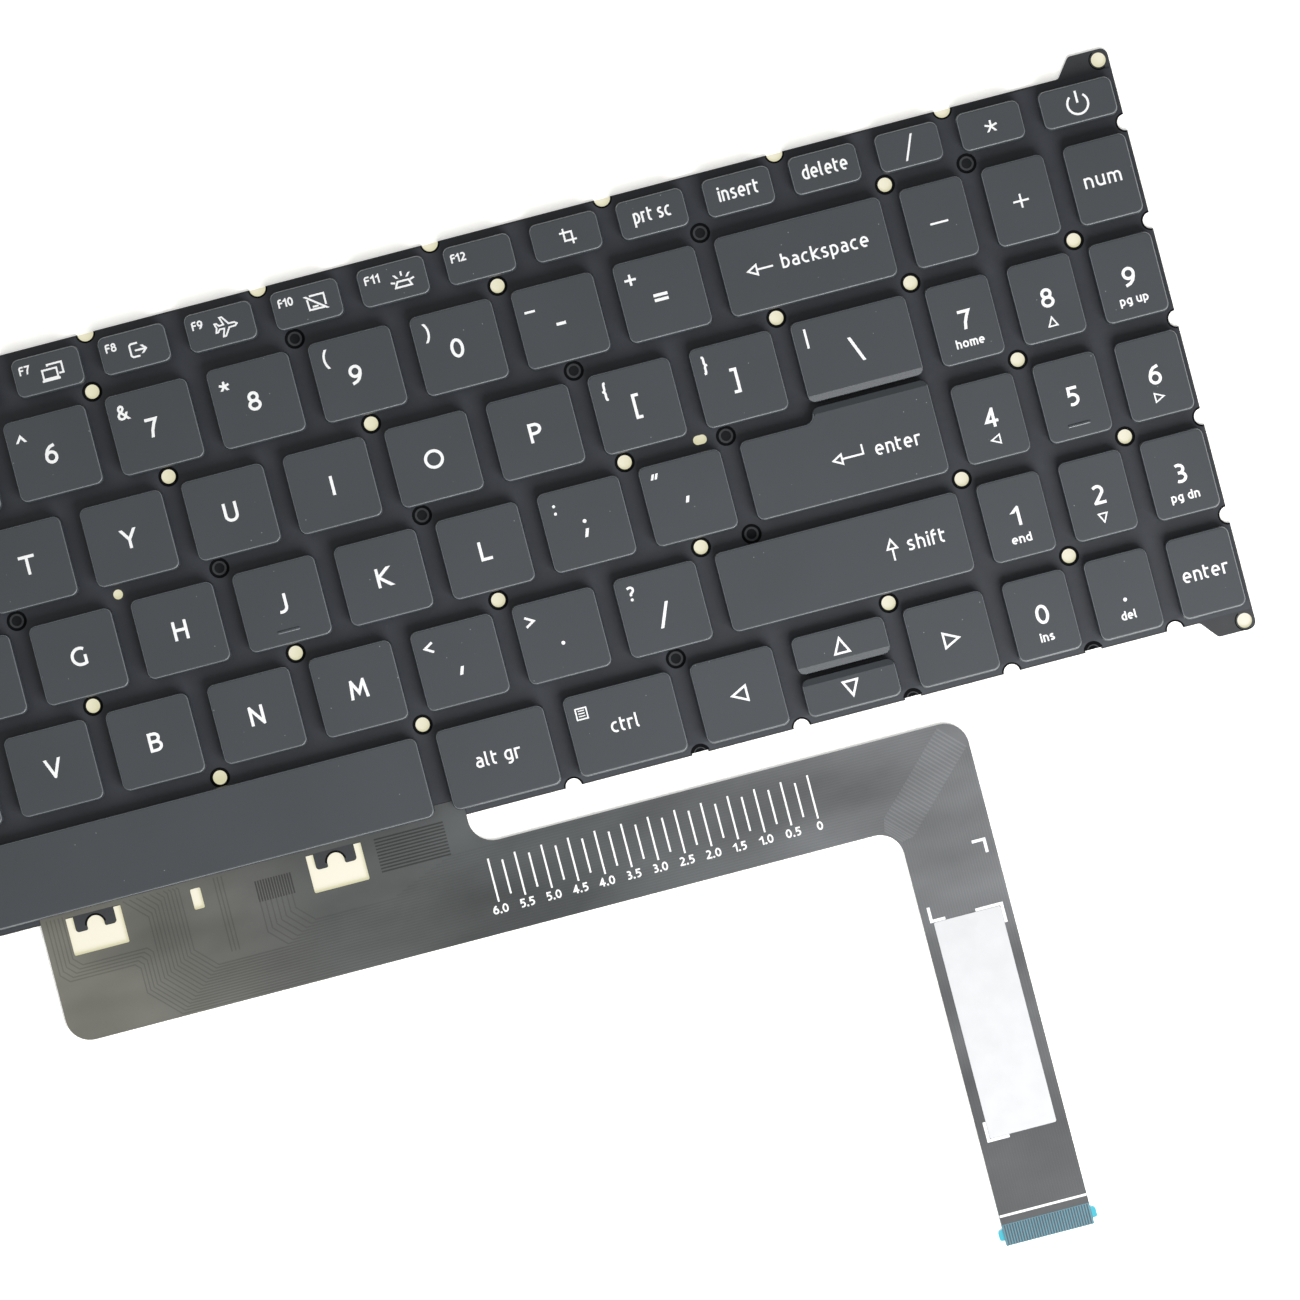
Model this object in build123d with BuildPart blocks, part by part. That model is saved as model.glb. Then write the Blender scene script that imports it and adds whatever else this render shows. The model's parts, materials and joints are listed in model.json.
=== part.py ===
"""Replacement keyboard for a laptop: scissor keys on a perforated plate, with a flat film tail.

Millimetres. +X runs along the rows to the number pad, +Y to the function row, +Z up through the keycaps.
The origin is the middle of the plate's underside.
"""

import os
from math import asin, atan, degrees, radians, tan
from typing import NamedTuple

from build123d import *

# Key grid
KEY_UNIT = 19.05
BLOCK_UNITS = 15
BLOCK_TRIM = 3.35
PAD_PITCH = 15.35
ROW_PITCH = 18.45
KEY_GAP = 3.35
PAIR_GAP = 0.8
FUNCTION_DEPTH = 7.3

# Plate and the sheet bonded to it
PLATE_THICKNESS = 0.5
SIDE_MARGIN = 0.85
FRONT_MARGIN = 1.1
REAR_MARGIN = 1.65
SHEET_THICKNESS = 0.25
SHEET_INSET = 0.3
STAKE_RADIUS = 1.3
STAKE_RING = 0.45
NOTCH_RADIUS = 1.5
BLIND_NOTCH_DEPTH = 0.35
HOLE_SIDES = 8
SHEET_HOLE_SIDES = 6
PIN_RADIUS = 0.9
SLOT_LENGTH = 2.5
SLOT_WIDTH = 1.7
SLOT_SHIFT = 0.5
SLOT_CORNER = 0.6

# Screw ears at the four corners
EAR_WIDTH = 7.2
EAR_SLOPE = 2.7
REAR_EAR_REACH = 3.5
FRONT_EAR_REACH = 3.3
EAR_CORNER = 1.4
EAR_HOLE_RADIUS = 1.35
EAR_HOLE_INSET = 1.9
EAR_HOLE_REACH = 1.55

# Locating tabs in front of the space bar, measured from its middle
TAB_WIDTH = 7.6
TAB_REACH = 2.9
TAB_NOTCH_RADIUS = 1.6
TAB_NOTCH_DEPTH = 2.3
TAB_CORNER = 0.6
LEFT_TAB_OFFSET = -19.05
RIGHT_TAB_OFFSET = 26.1
PEG_WIDTH = 1.6
PEG_REACH = 0.5

# Keycaps
CAP_HEIGHT = 2.0
CAP_TOP = 0.9
CAP_WALL = 1.0
CAP_DRAFT = 4
CORNER_CUT = 0.9
EDGE_BEVEL = 0.2
PAIR_BEVEL = 1.15
PAIR_DROP = 0.55
HOMING_LENGTH = 4.2
HOMING_WIDTH = 0.55
HOMING_RISE = 0.15
HOMING_SETBACK = 5.0
TRAVEL = 1.4
TRAVEL_SPARE = 0.15

# Rubber domes and scissor links under the caps
DOME_RADIUS = 2.2
DOME_TOP_RADIUS = 1.1
SMALL_DOME_RADIUS = 1.3
SMALL_DOME_TOP_RADIUS = 0.7
DOME_SIDES = 6
LINK_BAR = 1.0
SMALL_LINK_BAR = 0.7
LINK_THICKNESS = 0.7
LINK_PLAY = 0.2
LINK_SIDE_PLAY = 0.3
LINK_END_PLAY = 1.0
SMALL_LINK_END_PLAY = 0.2
POST_SIZE = 5.0

# Film tail: a broad lead-out, an arm along the front, then an arm to the connector
FILM_THICKNESS = 0.2
FILM_LAP = 2.0
FILM_BUTT = 0.1
LEAD_LEFT_OFFSET = -28.8
LEAD_RIGHT_OFFSET = 51.2
TAIL_REAR_DROP = 5.8
TAIL_DEPTH = 16.7
TAIL_CORNER = 4.5
WINDOW_SIDE = 1.35
WINDOW_FRONT = 4.0
WINDOW_REAR = 0.5
SLOT_SIDE = 0.15
SLOT_FRONT = 3.8
CONTACTS = 32
CONTACT_PITCH = 0.5
ARM_CENTRE_X = 99.1
ARM_LENGTH = 95.0
STIFFENER_THICKNESS = 0.25
STIFFENER_LENGTH = 10.0
STIFFENER_EAR = 0.9
STIFFENER_EAR_LENGTH = 2.0
STIFFENER_EAR_SETBACK = 1.1
LABEL_WIDTH = 12.5
LABEL_LENGTH = 40.6
LABEL_SETBACK = 19.7
LABEL_THICKNESS = 0.1


class Key(NamedTuple):
    """Middle and size of one keycap, at its skirt."""

    x: float
    y: float
    width: float
    depth: float


# Levels and overall sizes
KEY_DEPTH = ROW_PITCH - KEY_GAP
SHEET_TOP = PLATE_THICKNESS + SHEET_THICKNESS
CAP_BOTTOM = SHEET_TOP + TRAVEL + TRAVEL_SPARE
CAP_LEVEL = CAP_BOTTOM + CAP_HEIGHT
CEILING = CAP_LEVEL - CAP_TOP
LINK_WIDTH = PAD_PITCH - KEY_GAP - 2 * (CAP_WALL + LINK_SIDE_PLAY)
LINK_LENGTH = KEY_DEPTH - 2 * (CAP_WALL + LINK_END_PLAY)
MAIN_ROWS = 5
BLOCK_WIDTH = BLOCK_UNITS * KEY_UNIT - BLOCK_TRIM
GRID_WIDTH = BLOCK_WIDTH + 3 * PAD_PITCH
GRID_LEFT = -GRID_WIDTH / 2
PLATE_WIDTH = GRID_WIDTH - KEY_GAP + 2 * SIDE_MARGIN
PLATE_DEPTH = FRONT_MARGIN + MAIN_ROWS * ROW_PITCH + FUNCTION_DEPTH + REAR_MARGIN
PLATE_FRONT = -PLATE_DEPTH / 2
PLATE_REAR = PLATE_DEPTH / 2

# Rows from the front, each as key names with widths in key units. A width of 0 fills the row.
BOTTOM_ROW = [
    ("key_left_ctrl", 1.25),
    ("key_fn", 1),
    ("key_system", 1),
    ("key_left_alt", 1),
    ("key_space", 5),
    ("key_alt_gr", 1.25),
    ("key_right_ctrl", 1.25),
    ("arrow_left", 1),
    ("arrow_up_down", 1.1),
    ("arrow_right", 0),
]
LOWER_ROW = [("key_left_shift", 2.25)]
LOWER_ROW += [(f"key_{letter}", 1) for letter in "zxcvbnm"]
LOWER_ROW += [("key_comma", 1), ("key_period", 1), ("key_slash", 1), ("key_right_shift", 0)]
HOME_ROW = [("key_caps", 1.75)]
HOME_ROW += [(f"key_{letter}", 1) for letter in "asdfghjkl"]
HOME_ROW += [("key_semicolon", 1), ("key_quote", 1), ("key_enter", 0)]
UPPER_ROW = [("key_tab", 1.5)]
UPPER_ROW += [(f"key_{letter}", 1) for letter in "qwertyuiop"]
UPPER_ROW += [("key_left_bracket", 1), ("key_right_bracket", 1), ("key_backslash", 0)]
NUMBER_ROW = [("key_backtick", 1)]
NUMBER_ROW += [(f"key_{digit}", 1) for digit in "1234567890"]
NUMBER_ROW += [("key_minus", 1), ("key_equals", 1), ("key_backspace", 0)]
FUNCTION_ROW = [("key_esc", 1.125)]
FUNCTION_ROW += [(f"key_f{number}", 0.85) for number in range(1, 13)]
FUNCTION_ROW += [(f"key_{name}", 0.85) for name in ("snip", "print", "insert", "delete")]
FUNCTION_ROW += [(name, PAD_PITCH / KEY_UNIT) for name in ("pad_divide", "pad_times")]
FUNCTION_ROW += [("key_power", 0)]
MAIN_BLOCK = [BOTTOM_ROW, LOWER_ROW, HOME_ROW, UPPER_ROW, NUMBER_ROW]
PAD_BLOCK = [
    ("pad_0", "pad_point", "pad_enter"),
    ("pad_1", "pad_2", "pad_3"),
    ("pad_4", "pad_5", "pad_6"),
    ("pad_7", "pad_8", "pad_9"),
    ("pad_minus", "pad_plus", "pad_lock"),
]

# The function row and the left-hand keys of each main row are one fixed bank.
FIXED_COUNTS = [4, 5, 6, 6, 7]


def row_y(row):
    """Middle of a main row, counted from the front."""
    return PLATE_FRONT + FRONT_MARGIN + KEY_DEPTH / 2 + row * ROW_PITCH


def gap_y(row):
    """Middle of the gap behind a main row."""
    return row_y(row) + ROW_PITCH / 2


def lay_row(cells, y, depth, width):
    """Place a row's keys from the left edge of the grid, with the lines between their cells."""
    filler = width - KEY_UNIT * sum(units for _, units in cells)
    lines = [GRID_LEFT]
    placed = {}
    for name, units in cells:
        cell = units * KEY_UNIT or filler
        placed[name] = Key(lines[-1] + cell / 2, y, cell - KEY_GAP, depth)
        lines.append(lines[-1] + cell)
    return placed, lines


keys = {}
row_lines = []
for row, cells in enumerate(MAIN_BLOCK):
    placed, lines = lay_row(cells, row_y(row), KEY_DEPTH, BLOCK_WIDTH)
    keys |= placed
    row_lines.append(lines)
FUNCTION_Y = row_y(4) + KEY_DEPTH / 2 + KEY_GAP + FUNCTION_DEPTH / 2
placed, function_lines = lay_row(FUNCTION_ROW, FUNCTION_Y, FUNCTION_DEPTH, GRID_WIDTH)
keys |= placed
pad_lines = [GRID_LEFT + BLOCK_WIDTH + column * PAD_PITCH for column in range(3)]
for row, names in enumerate(PAD_BLOCK):
    for line, name in zip(pad_lines, names):
        keys[name] = Key(line + PAD_PITCH / 2, row_y(row), PAD_PITCH - KEY_GAP, KEY_DEPTH)

# Two half-depth arrow keys share one cell
pair = keys.pop("arrow_up_down")
half_depth = (KEY_DEPTH - PAIR_GAP) / 2
half_shift = (half_depth + PAIR_GAP) / 2
keys["arrow_up"] = Key(pair.x, pair.y + half_shift, pair.width, half_depth)
keys["arrow_down"] = Key(pair.x, pair.y - half_shift, pair.width, half_depth)

fixed_names = [name for name, _ in FUNCTION_ROW]
for cells, count in zip(MAIN_BLOCK, FIXED_COUNTS):
    fixed_names += [name for name, _ in cells[:count]]
moving_names = [name for name in keys if name not in fixed_names]
small_names = [name for name in moving_names if keys[name].depth < KEY_DEPTH]
full_names = [name for name in moving_names if name not in small_names]
space = keys["key_space"]

# Stake holes lie in the gaps behind the rows: those through the plate, then those in the sheet alone
through_stakes = []
blind_stakes = []
for line in range(1, 14, 2):
    stake = (row_lines[4][line], gap_y(4))
    if line % 4 == 3:
        through_stakes.append(stake)
    else:
        blind_stakes.append(stake)
for line in range(1, 14, 2):
    stake = (row_lines[3][line], gap_y(3))
    if line == 11:
        blind_stakes.append(stake)
    else:
        through_stakes.append(stake)
for line in (1, 3, 5, 7, 9, 12):
    blind_stakes.append((row_lines[2][line], gap_y(2)))
through_stakes.append((row_lines[2][11], gap_y(2)))
for line in range(1, 12, 2):
    through_stakes.append((row_lines[1][line], gap_y(1)))
for line in (2, 4, 6):
    through_stakes.append((row_lines[1][line], gap_y(0)))
through_stakes += [(row_lines[0][5], gap_y(0)), (row_lines[0][9], gap_y(0))]
blind_stakes.append((row_lines[0][8], gap_y(0)))
for row, column in ((0, 1), (1, 0), (1, 2), (2, 1), (3, 0), (3, 2), (4, 0)):
    through_stakes.append((pad_lines[column], gap_y(row)))
blind_stakes.append((pad_lines[1], gap_y(4)))

# Half-round notches round the edge; every other one along the front is cut in the sheet alone
edge_notches = [(x, PLATE_REAR) for x in function_lines[2:19:2]]
edge_notches += [(side * PLATE_WIDTH / 2, gap_y(row)) for side in (-1, 1) for row in range(MAIN_ROWS)]
front_lines = row_lines[0] + pad_lines[1:]
edge_notches += [(front_lines[line], PLATE_FRONT) for line in (2, 4, 6, 8, 10, 12)]
blind_notches = [(front_lines[line], PLATE_FRONT) for line in (1, 3, 7, 9, 11)]

# A pin hole between the G and H keys and a slot beside the brackets locate the plate
pin_place = (row_lines[2][6], gap_y(2))
slot_place = (row_lines[3][12], gap_y(2) + SLOT_SHIFT)

tab_places = [space.x + LEFT_TAB_OFFSET, space.x + RIGHT_TAB_OFFSET]
lead_left = space.x + LEAD_LEFT_OFFSET
lead_right = space.x + LEAD_RIGHT_OFFSET
film_rear = space.y - space.depth / 2 + FILM_LAP
ear_hole_x = PLATE_WIDTH / 2 - EAR_HOLE_INSET

os.makedirs("parts", exist_ok=True)


def save(part, name):
    """Label one finished piece and write it."""
    part.label = name
    export_step(part, f"parts/{name}.step")


# Locating holes, cut through plate and sheet alike
with BuildSketch() as locating_holes:
    with Locations(slot_place):
        Rectangle(SLOT_LENGTH, SLOT_WIDTH)
    chamfer(locating_holes.vertices(), SLOT_CORNER)
    with Locations(pin_place):
        RegularPolygon(PIN_RADIUS, HOLE_SIDES)

# Base plate: stamped sheet with ears, tabs, stake holes and edge notches
with BuildPart() as base_plate:
    with BuildSketch() as outline:
        Rectangle(PLATE_WIDTH, PLATE_DEPTH)
        for edge, end in ((PLATE_REAR, PLATE_REAR + REAR_EAR_REACH), (PLATE_FRONT, PLATE_FRONT - FRONT_EAR_REACH)):
            Polygon(
                (PLATE_WIDTH / 2, 0),
                (PLATE_WIDTH / 2, end),
                (PLATE_WIDTH / 2 - EAR_WIDTH, end),
                (PLATE_WIDTH / 2 - EAR_WIDTH - EAR_SLOPE, edge),
                (PLATE_WIDTH / 2 - EAR_WIDTH - EAR_SLOPE, 0),
                align=None,
            )
        mirror(about=Plane.YZ)
        corners = [v for v in outline.vertices() if abs(v.Y) > PLATE_REAR - EAR_CORNER]
        fillet(corners, EAR_CORNER)
        with Locations(*[(x, PLATE_FRONT) for x in tab_places]):
            Rectangle(TAB_WIDTH, 2 * TAB_REACH)
        tab_end = PLATE_FRONT - TAB_REACH
        tab_corners = [v for v in outline.vertices() if abs(v.Y - tab_end) < 0.01]
        chamfer(tab_corners, TAB_CORNER)
        with Locations((space.x, PLATE_FRONT)):
            Rectangle(PEG_WIDTH, 2 * PEG_REACH)
        with Locations(*[(x, tab_end) for x in tab_places]):
            SlotCenterToCenter(
                2 * (TAB_NOTCH_DEPTH - TAB_NOTCH_RADIUS),
                2 * TAB_NOTCH_RADIUS,
                rotation=90,
                mode=Mode.SUBTRACT,
            )
        with Locations(*through_stakes):
            RegularPolygon(STAKE_RADIUS, HOLE_SIDES, mode=Mode.SUBTRACT)
        with Locations(*edge_notches):
            RegularPolygon(NOTCH_RADIUS, HOLE_SIDES, mode=Mode.SUBTRACT)
        with Locations(*blind_notches):
            Rectangle(2 * NOTCH_RADIUS, 2 * BLIND_NOTCH_DEPTH, mode=Mode.SUBTRACT)
        add(locating_holes.sketch, mode=Mode.SUBTRACT)
        for side in (-1, 1):
            with Locations(
                (side * ear_hole_x, PLATE_REAR + EAR_HOLE_REACH),
                (side * ear_hole_x, PLATE_FRONT - EAR_HOLE_REACH),
            ):
                Circle(EAR_HOLE_RADIUS, mode=Mode.SUBTRACT)
    extrude(amount=PLATE_THICKNESS)
save(base_plate.part, "base_plate")

# Membrane sheet: covers the plate between its edges, cut back where the film tail leaves
with BuildPart() as membrane_sheet:
    with BuildSketch(Plane.XY.offset(PLATE_THICKNESS)):
        Rectangle(PLATE_WIDTH - 2 * SHEET_INSET, PLATE_DEPTH - 2 * SHEET_INSET)
        with Locations((lead_left - FILM_BUTT, PLATE_FRONT)):
            Rectangle(
                lead_right - lead_left + 2 * FILM_BUTT,
                film_rear + FILM_BUTT - PLATE_FRONT,
                align=Align.MIN,
                mode=Mode.SUBTRACT,
            )
        with Locations(*through_stakes, *blind_stakes, *edge_notches, *blind_notches):
            RegularPolygon(STAKE_RADIUS + STAKE_RING, SHEET_HOLE_SIDES, mode=Mode.SUBTRACT)
        add(locating_holes.sketch, mode=Mode.SUBTRACT)
    extrude(amount=SHEET_THICKNESS)
save(membrane_sheet.part, "membrane_sheet")

# Film tail: lies on the plate's front margin and runs out to the connector
arm_width = (CONTACTS + 1) * CONTACT_PITCH
arm_left = ARM_CENTRE_X - arm_width / 2
arm_right = ARM_CENTRE_X + arm_width / 2
tail_rear = PLATE_FRONT - TAIL_REAR_DROP
tail_front = tail_rear - TAIL_DEPTH
arm_end = tail_rear - ARM_LENGTH
with BuildPart() as flex_tail:
    with BuildSketch(Plane.XY.offset(PLATE_THICKNESS)) as film:
        with BuildLine():
            Polyline(
                (lead_left, film_rear),
                (lead_right, film_rear),
                (lead_right, tail_rear),
                (arm_right, tail_rear),
                (arm_right, arm_end),
                (arm_left, arm_end),
                (arm_left, tail_front),
                (lead_left, tail_front),
                close=True,
            )
        make_face()
        bends = [v for v in film.vertices() if arm_end < v.Y < film_rear]
        fillet(bends, TAIL_CORNER)
        with Locations(*[(x, PLATE_FRONT - WINDOW_REAR) for x in tab_places]):
            Rectangle(
                TAB_WIDTH + 2 * WINDOW_SIDE,
                TAB_REACH + WINDOW_FRONT - WINDOW_REAR,
                align=(Align.CENTER, Align.MAX),
                mode=Mode.SUBTRACT,
            )
        with Locations((space.x, PLATE_FRONT - WINDOW_REAR)):
            Rectangle(
                PEG_WIDTH + 2 * SLOT_SIDE,
                SLOT_FRONT,
                align=(Align.CENTER, Align.MAX),
                mode=Mode.SUBTRACT,
            )
    extrude(amount=FILM_THICKNESS)
save(flex_tail.part, "flex_tail")

# Stiffener: backs the contacts at the tail's end, with a catch on each side
with BuildPart() as tail_stiffener:
    with BuildSketch(Plane.XY.offset(PLATE_THICKNESS)):
        with Locations((ARM_CENTRE_X, arm_end)):
            Rectangle(arm_width, STIFFENER_LENGTH, align=(Align.CENTER, Align.MIN))
        with Locations((ARM_CENTRE_X, arm_end + STIFFENER_EAR_SETBACK)):
            Rectangle(
                arm_width + 2 * STIFFENER_EAR,
                STIFFENER_EAR_LENGTH,
                align=(Align.CENTER, Align.MIN),
            )
    extrude(amount=-STIFFENER_THICKNESS)
save(tail_stiffener.part, "tail_stiffener")

# Label: blank paper on the arm
with BuildPart() as tail_label:
    with BuildSketch(Plane.XY.offset(PLATE_THICKNESS + FILM_THICKNESS)):
        with Locations((ARM_CENTRE_X, arm_end + LABEL_SETBACK)):
            Rectangle(LABEL_WIDTH, LABEL_LENGTH, align=(Align.CENTER, Align.MIN))
    extrude(amount=LABEL_THICKNESS)
save(tail_label.part, "tail_label")

# Rubber domes: one under each moving key, up to the underside of its cap
with BuildPart() as rubber_domes:
    for names, radius, top_radius in (
        (full_names, DOME_RADIUS, DOME_TOP_RADIUS),
        (small_names, SMALL_DOME_RADIUS, SMALL_DOME_TOP_RADIUS),
    ):
        with BuildSketch(Plane.XY.offset(SHEET_TOP)):
            with Locations(*[(keys[name].x, keys[name].y) for name in names]):
                RegularPolygon(radius, DOME_SIDES)
        height = CEILING - SHEET_TOP
        extrude(amount=height, taper=degrees(atan((radius - top_radius) / height)))
save(rubber_domes.part, "rubber_domes")


def scissor_links(lean_side, side_play):
    """One link of every scissor: a frame that leans from the sheet up to the cap."""
    with BuildPart() as links:
        for names, length, bar in (
            (full_names, LINK_LENGTH, LINK_BAR),
            (small_names, half_depth - 2 * (CAP_WALL + SMALL_LINK_END_PLAY), SMALL_LINK_BAR),
        ):
            room = CEILING - SHEET_TOP - LINK_THICKNESS - 2 * LINK_PLAY
            lean = lean_side * degrees(asin(room / length))
            width = LINK_WIDTH - 2 * side_play
            for y in sorted({keys[name].y for name in names}):
                tilted = Plane((0, y, (SHEET_TOP + CEILING) / 2)).rotated((lean, 0, 0))
                with BuildSketch(tilted):
                    with Locations(*[(keys[name].x, 0) for name in names if keys[name].y == y]):
                        Rectangle(width, length)
                        Rectangle(width - 2 * bar, length - 2 * bar, mode=Mode.SUBTRACT)
                extrude(amount=LINK_THICKNESS / 2, both=True)
    return links.part


save(scissor_links(1, 0), "scissor_outer_links")
save(scissor_links(-1, LINK_BAR + LINK_SIDE_PLAY), "scissor_inner_links")


def homing_bar(key):
    """Low bar that marks a key by touch, near its front."""
    with BuildPart() as bar:
        with BuildSketch(Plane.XY.offset(CAP_LEVEL)):
            with Locations((key.x, key.y - HOMING_SETBACK)):
                Rectangle(HOMING_LENGTH, HOMING_WIDTH)
        extrude(amount=HOMING_RISE)
    return bar.part


# Fixed bank: caps on the posts that carry them, each cap and post in one
left_bar = homing_bar(keys["key_f"])
with BuildPart() as fixed_keys:
    for y in sorted({keys[name].y for name in fixed_names}):
        bank = [keys[name] for name in fixed_names if keys[name].y == y]
        with BuildSketch(Plane.XY.offset(CAP_BOTTOM)) as caps:
            for key in bank:
                with Locations((key.x, key.y)):
                    Rectangle(key.width, key.depth)
            chamfer(caps.vertices(), CORNER_CUT)
        extrude(amount=CAP_HEIGHT, taper=CAP_DRAFT)
        with BuildSketch(Plane.XY.offset(SHEET_TOP)):
            with Locations(*[(key.x, key.y) for key in bank]):
                Rectangle(POST_SIZE, POST_SIZE)
        extrude(amount=CAP_BOTTOM - SHEET_TOP)
    add(left_bar)
save(fixed_keys.part, "fixed_keys")

# Edges that face each other across the narrow gaps are bevelled: 1 for a rear edge, -1 for a front one
PAIRED_EDGES = {"key_backslash": -1, "key_enter": 1, "arrow_up": -1, "arrow_down": 1}
HOMING_KEYS = ("key_j", "pad_5")


def keycap(name):
    """One hollow cap, with a step up to its neighbour on the enter key."""
    key = keys[name]
    step = KEY_GAP - PAIR_GAP if name == "key_enter" else 0
    bar = homing_bar(key) if name in HOMING_KEYS else None
    with BuildPart() as cap:
        with BuildSketch(Plane.XY.offset(CAP_BOTTOM)) as skirt:
            with Locations((key.x, key.y)):
                Rectangle(key.width, key.depth)
            if step:
                with Locations((key.x + key.width / 2, key.y)):
                    Rectangle(
                        keys["key_backslash"].width,
                        key.depth / 2 + step,
                        align=(Align.MAX, Align.MIN),
                    )
            chamfer(skirt.vertices(), CORNER_CUT)
        extrude(amount=CAP_HEIGHT, taper=CAP_DRAFT)
        chamfer(cap.faces().sort_by(Axis.Z)[-1].edges(), EDGE_BEVEL)
        with BuildSketch(Plane.XY.offset(CAP_BOTTOM)):
            with Locations((key.x, key.y)):
                Rectangle(key.width - 2 * CAP_WALL, key.depth - 2 * CAP_WALL)
        extrude(amount=CAP_HEIGHT - CAP_TOP, mode=Mode.SUBTRACT)
        if name in PAIRED_EDGES:
            side = PAIRED_EDGES[name]
            edge = key.y + side * (key.depth / 2 - CAP_HEIGHT * tan(radians(CAP_DRAFT)) + step)
            with BuildSketch(Plane.YZ.offset(key.x - key.width / 2)):
                Polygon(
                    (edge + side * PAIR_BEVEL, CAP_LEVEL),
                    (edge - side * PAIR_BEVEL, CAP_LEVEL),
                    (edge + side * PAIR_BEVEL, CAP_LEVEL - 2 * PAIR_DROP),
                    align=None,
                )
            extrude(amount=key.width, mode=Mode.SUBTRACT)
        if bar:
            add(bar)
    return cap.part


for name in moving_names:
    save(keycap(name), name)
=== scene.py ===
"""Look of the laptop replacement keyboard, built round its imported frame.

Shapes are worked out in millimetres, in the frame's own axes, and scaled to metres as each piece is made.
"""

import json
from math import atan2, ceil, cos, pi, radians, sin, sqrt
from typing import NamedTuple

import bmesh
import bpy
from mathutils import Matrix, Vector
from mathutils.geometry import delaunay_2d_cdt

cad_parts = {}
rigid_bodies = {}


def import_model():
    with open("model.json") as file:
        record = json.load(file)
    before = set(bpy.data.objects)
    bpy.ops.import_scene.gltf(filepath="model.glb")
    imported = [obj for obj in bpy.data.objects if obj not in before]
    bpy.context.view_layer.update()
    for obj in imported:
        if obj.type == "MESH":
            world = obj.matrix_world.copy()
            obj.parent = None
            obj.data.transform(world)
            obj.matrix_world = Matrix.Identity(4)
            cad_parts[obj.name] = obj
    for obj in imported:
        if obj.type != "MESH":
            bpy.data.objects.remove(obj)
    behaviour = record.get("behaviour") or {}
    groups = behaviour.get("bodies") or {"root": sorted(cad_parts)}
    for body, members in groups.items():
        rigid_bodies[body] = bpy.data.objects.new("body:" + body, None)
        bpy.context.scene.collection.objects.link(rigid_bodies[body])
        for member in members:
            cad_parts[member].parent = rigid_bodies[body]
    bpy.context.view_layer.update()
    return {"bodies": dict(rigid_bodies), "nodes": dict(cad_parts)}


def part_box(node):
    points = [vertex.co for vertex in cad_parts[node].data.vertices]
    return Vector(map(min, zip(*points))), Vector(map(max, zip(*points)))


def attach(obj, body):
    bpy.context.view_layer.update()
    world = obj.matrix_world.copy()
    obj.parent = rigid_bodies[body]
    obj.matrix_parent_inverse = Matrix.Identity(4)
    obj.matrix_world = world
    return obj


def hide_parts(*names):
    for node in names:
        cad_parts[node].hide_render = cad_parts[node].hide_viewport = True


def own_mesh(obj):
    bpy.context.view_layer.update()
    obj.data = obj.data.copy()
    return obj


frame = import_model()
scene = bpy.context.scene
MM = 0.001

# View: straight down, turned so that the rows rise to the right
VIEW_X = 55.45
VIEW_Y = -30.59
VIEW_TURN = -14.63
VIEW_WIDTH = 235.93
VIEW_HEIGHT = 1500.0
SENSOR = 36.0
CAMERA_RANGE = 20.0
FLOOR_SIZE = 3000.0
FLOOR_GAP = 0.02
PAPER_LEVELS = (-0.012, -0.008)
PAPER_INSET = 2.0
PAPER_MARGIN = 0.05
PAPER_LAP = 0.5
HOLE_LAP = 0.2
SKY_STRENGTH = 0.35
# Lights: place from the middle of the view in metres, size and power
LIGHTS = {"key_light": ((0.15, -0.34, 0.4), 0.45, 4.8), "fill_light": ((-0.7, 0.5, 1.1), 1.2, 2.5)}

# Keycaps
CORNER_RADIUS = 1.5
CORNER_STEPS = 7
EDGE_RADIUS = 0.28
EDGE_STEPS = 4
LEAST_BEND = 0.05
TOP_BAND = 0.15
CAP_WALL = 1.0
CAP_ROOF = 0.9
CAP_INSET = 0.14
POST_SIZE = 5.0
POST_CORNER = 0.4
PAIR_BEVEL = 1.15
PAIR_DROP = 0.55
HOMING_KEYS = ("key_f", "key_j", "pad_5")
HOMING_LENGTH = 4.2
HOMING_WIDTH = 0.55
HOMING_SETBACK = 5.0
HOMING_CORNER = 0.25
HOMING_PROFILE = ((0.0, 0.0), (0.0, 0.45), (0.06, 0.85), (0.14, 1.0))
LIT_SLOPE = 0.2

# Plate and sheet
STAKE_RADIUS = 1.3
STAKE_RING = 0.55
SHEET_HOLE = STAKE_RADIUS + STAKE_RING
NOTCH_RADIUS = 1.5
SHEET_INSET = 0.3
BLIND_NOTCH_DEPTH = 0.35
BLIND_NOTCH_CORNER = 0.12
PIN_RADIUS = 0.9
SLOT_LENGTH = 2.5
SLOT_WIDTH = 1.7
SLOT_CORNER = 0.82
SLOT_SHIFT = 0.5
EAR_WIDTH = 7.2
EAR_SLOPE = 2.7
EAR_CORNER = 1.4
EAR_BEND = 0.9
EAR_HOLE_RADIUS = 1.35
EAR_HOLE_INSET = 1.9
EAR_HOLE_REACH = 1.55
FRONT_EAR_REACH = 3.3
REAR_EAR_REACH = 3.5
TAB_WIDTH = 7.6
TAB_REACH = 2.9
TAB_NOTCH_RADIUS = 1.6
TAB_NOTCH_DEPTH = 2.3
TAB_CORNER = 0.6
TAB_NOTCH_LIP = 0.3
TAB_NOTCH_FILLET = 0.99 * TAB_NOTCH_RADIUS
LEFT_TAB_OFFSET = -19.05
RIGHT_TAB_OFFSET = 26.1
PEG_WIDTH = 1.6
PEG_REACH = 0.5
PEG_CORNER = 0.1
FILM_BUTT = 0.1
MAIN_ROWS = 5
ARC_STEP = radians(9)
WELD = 0.0005

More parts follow.
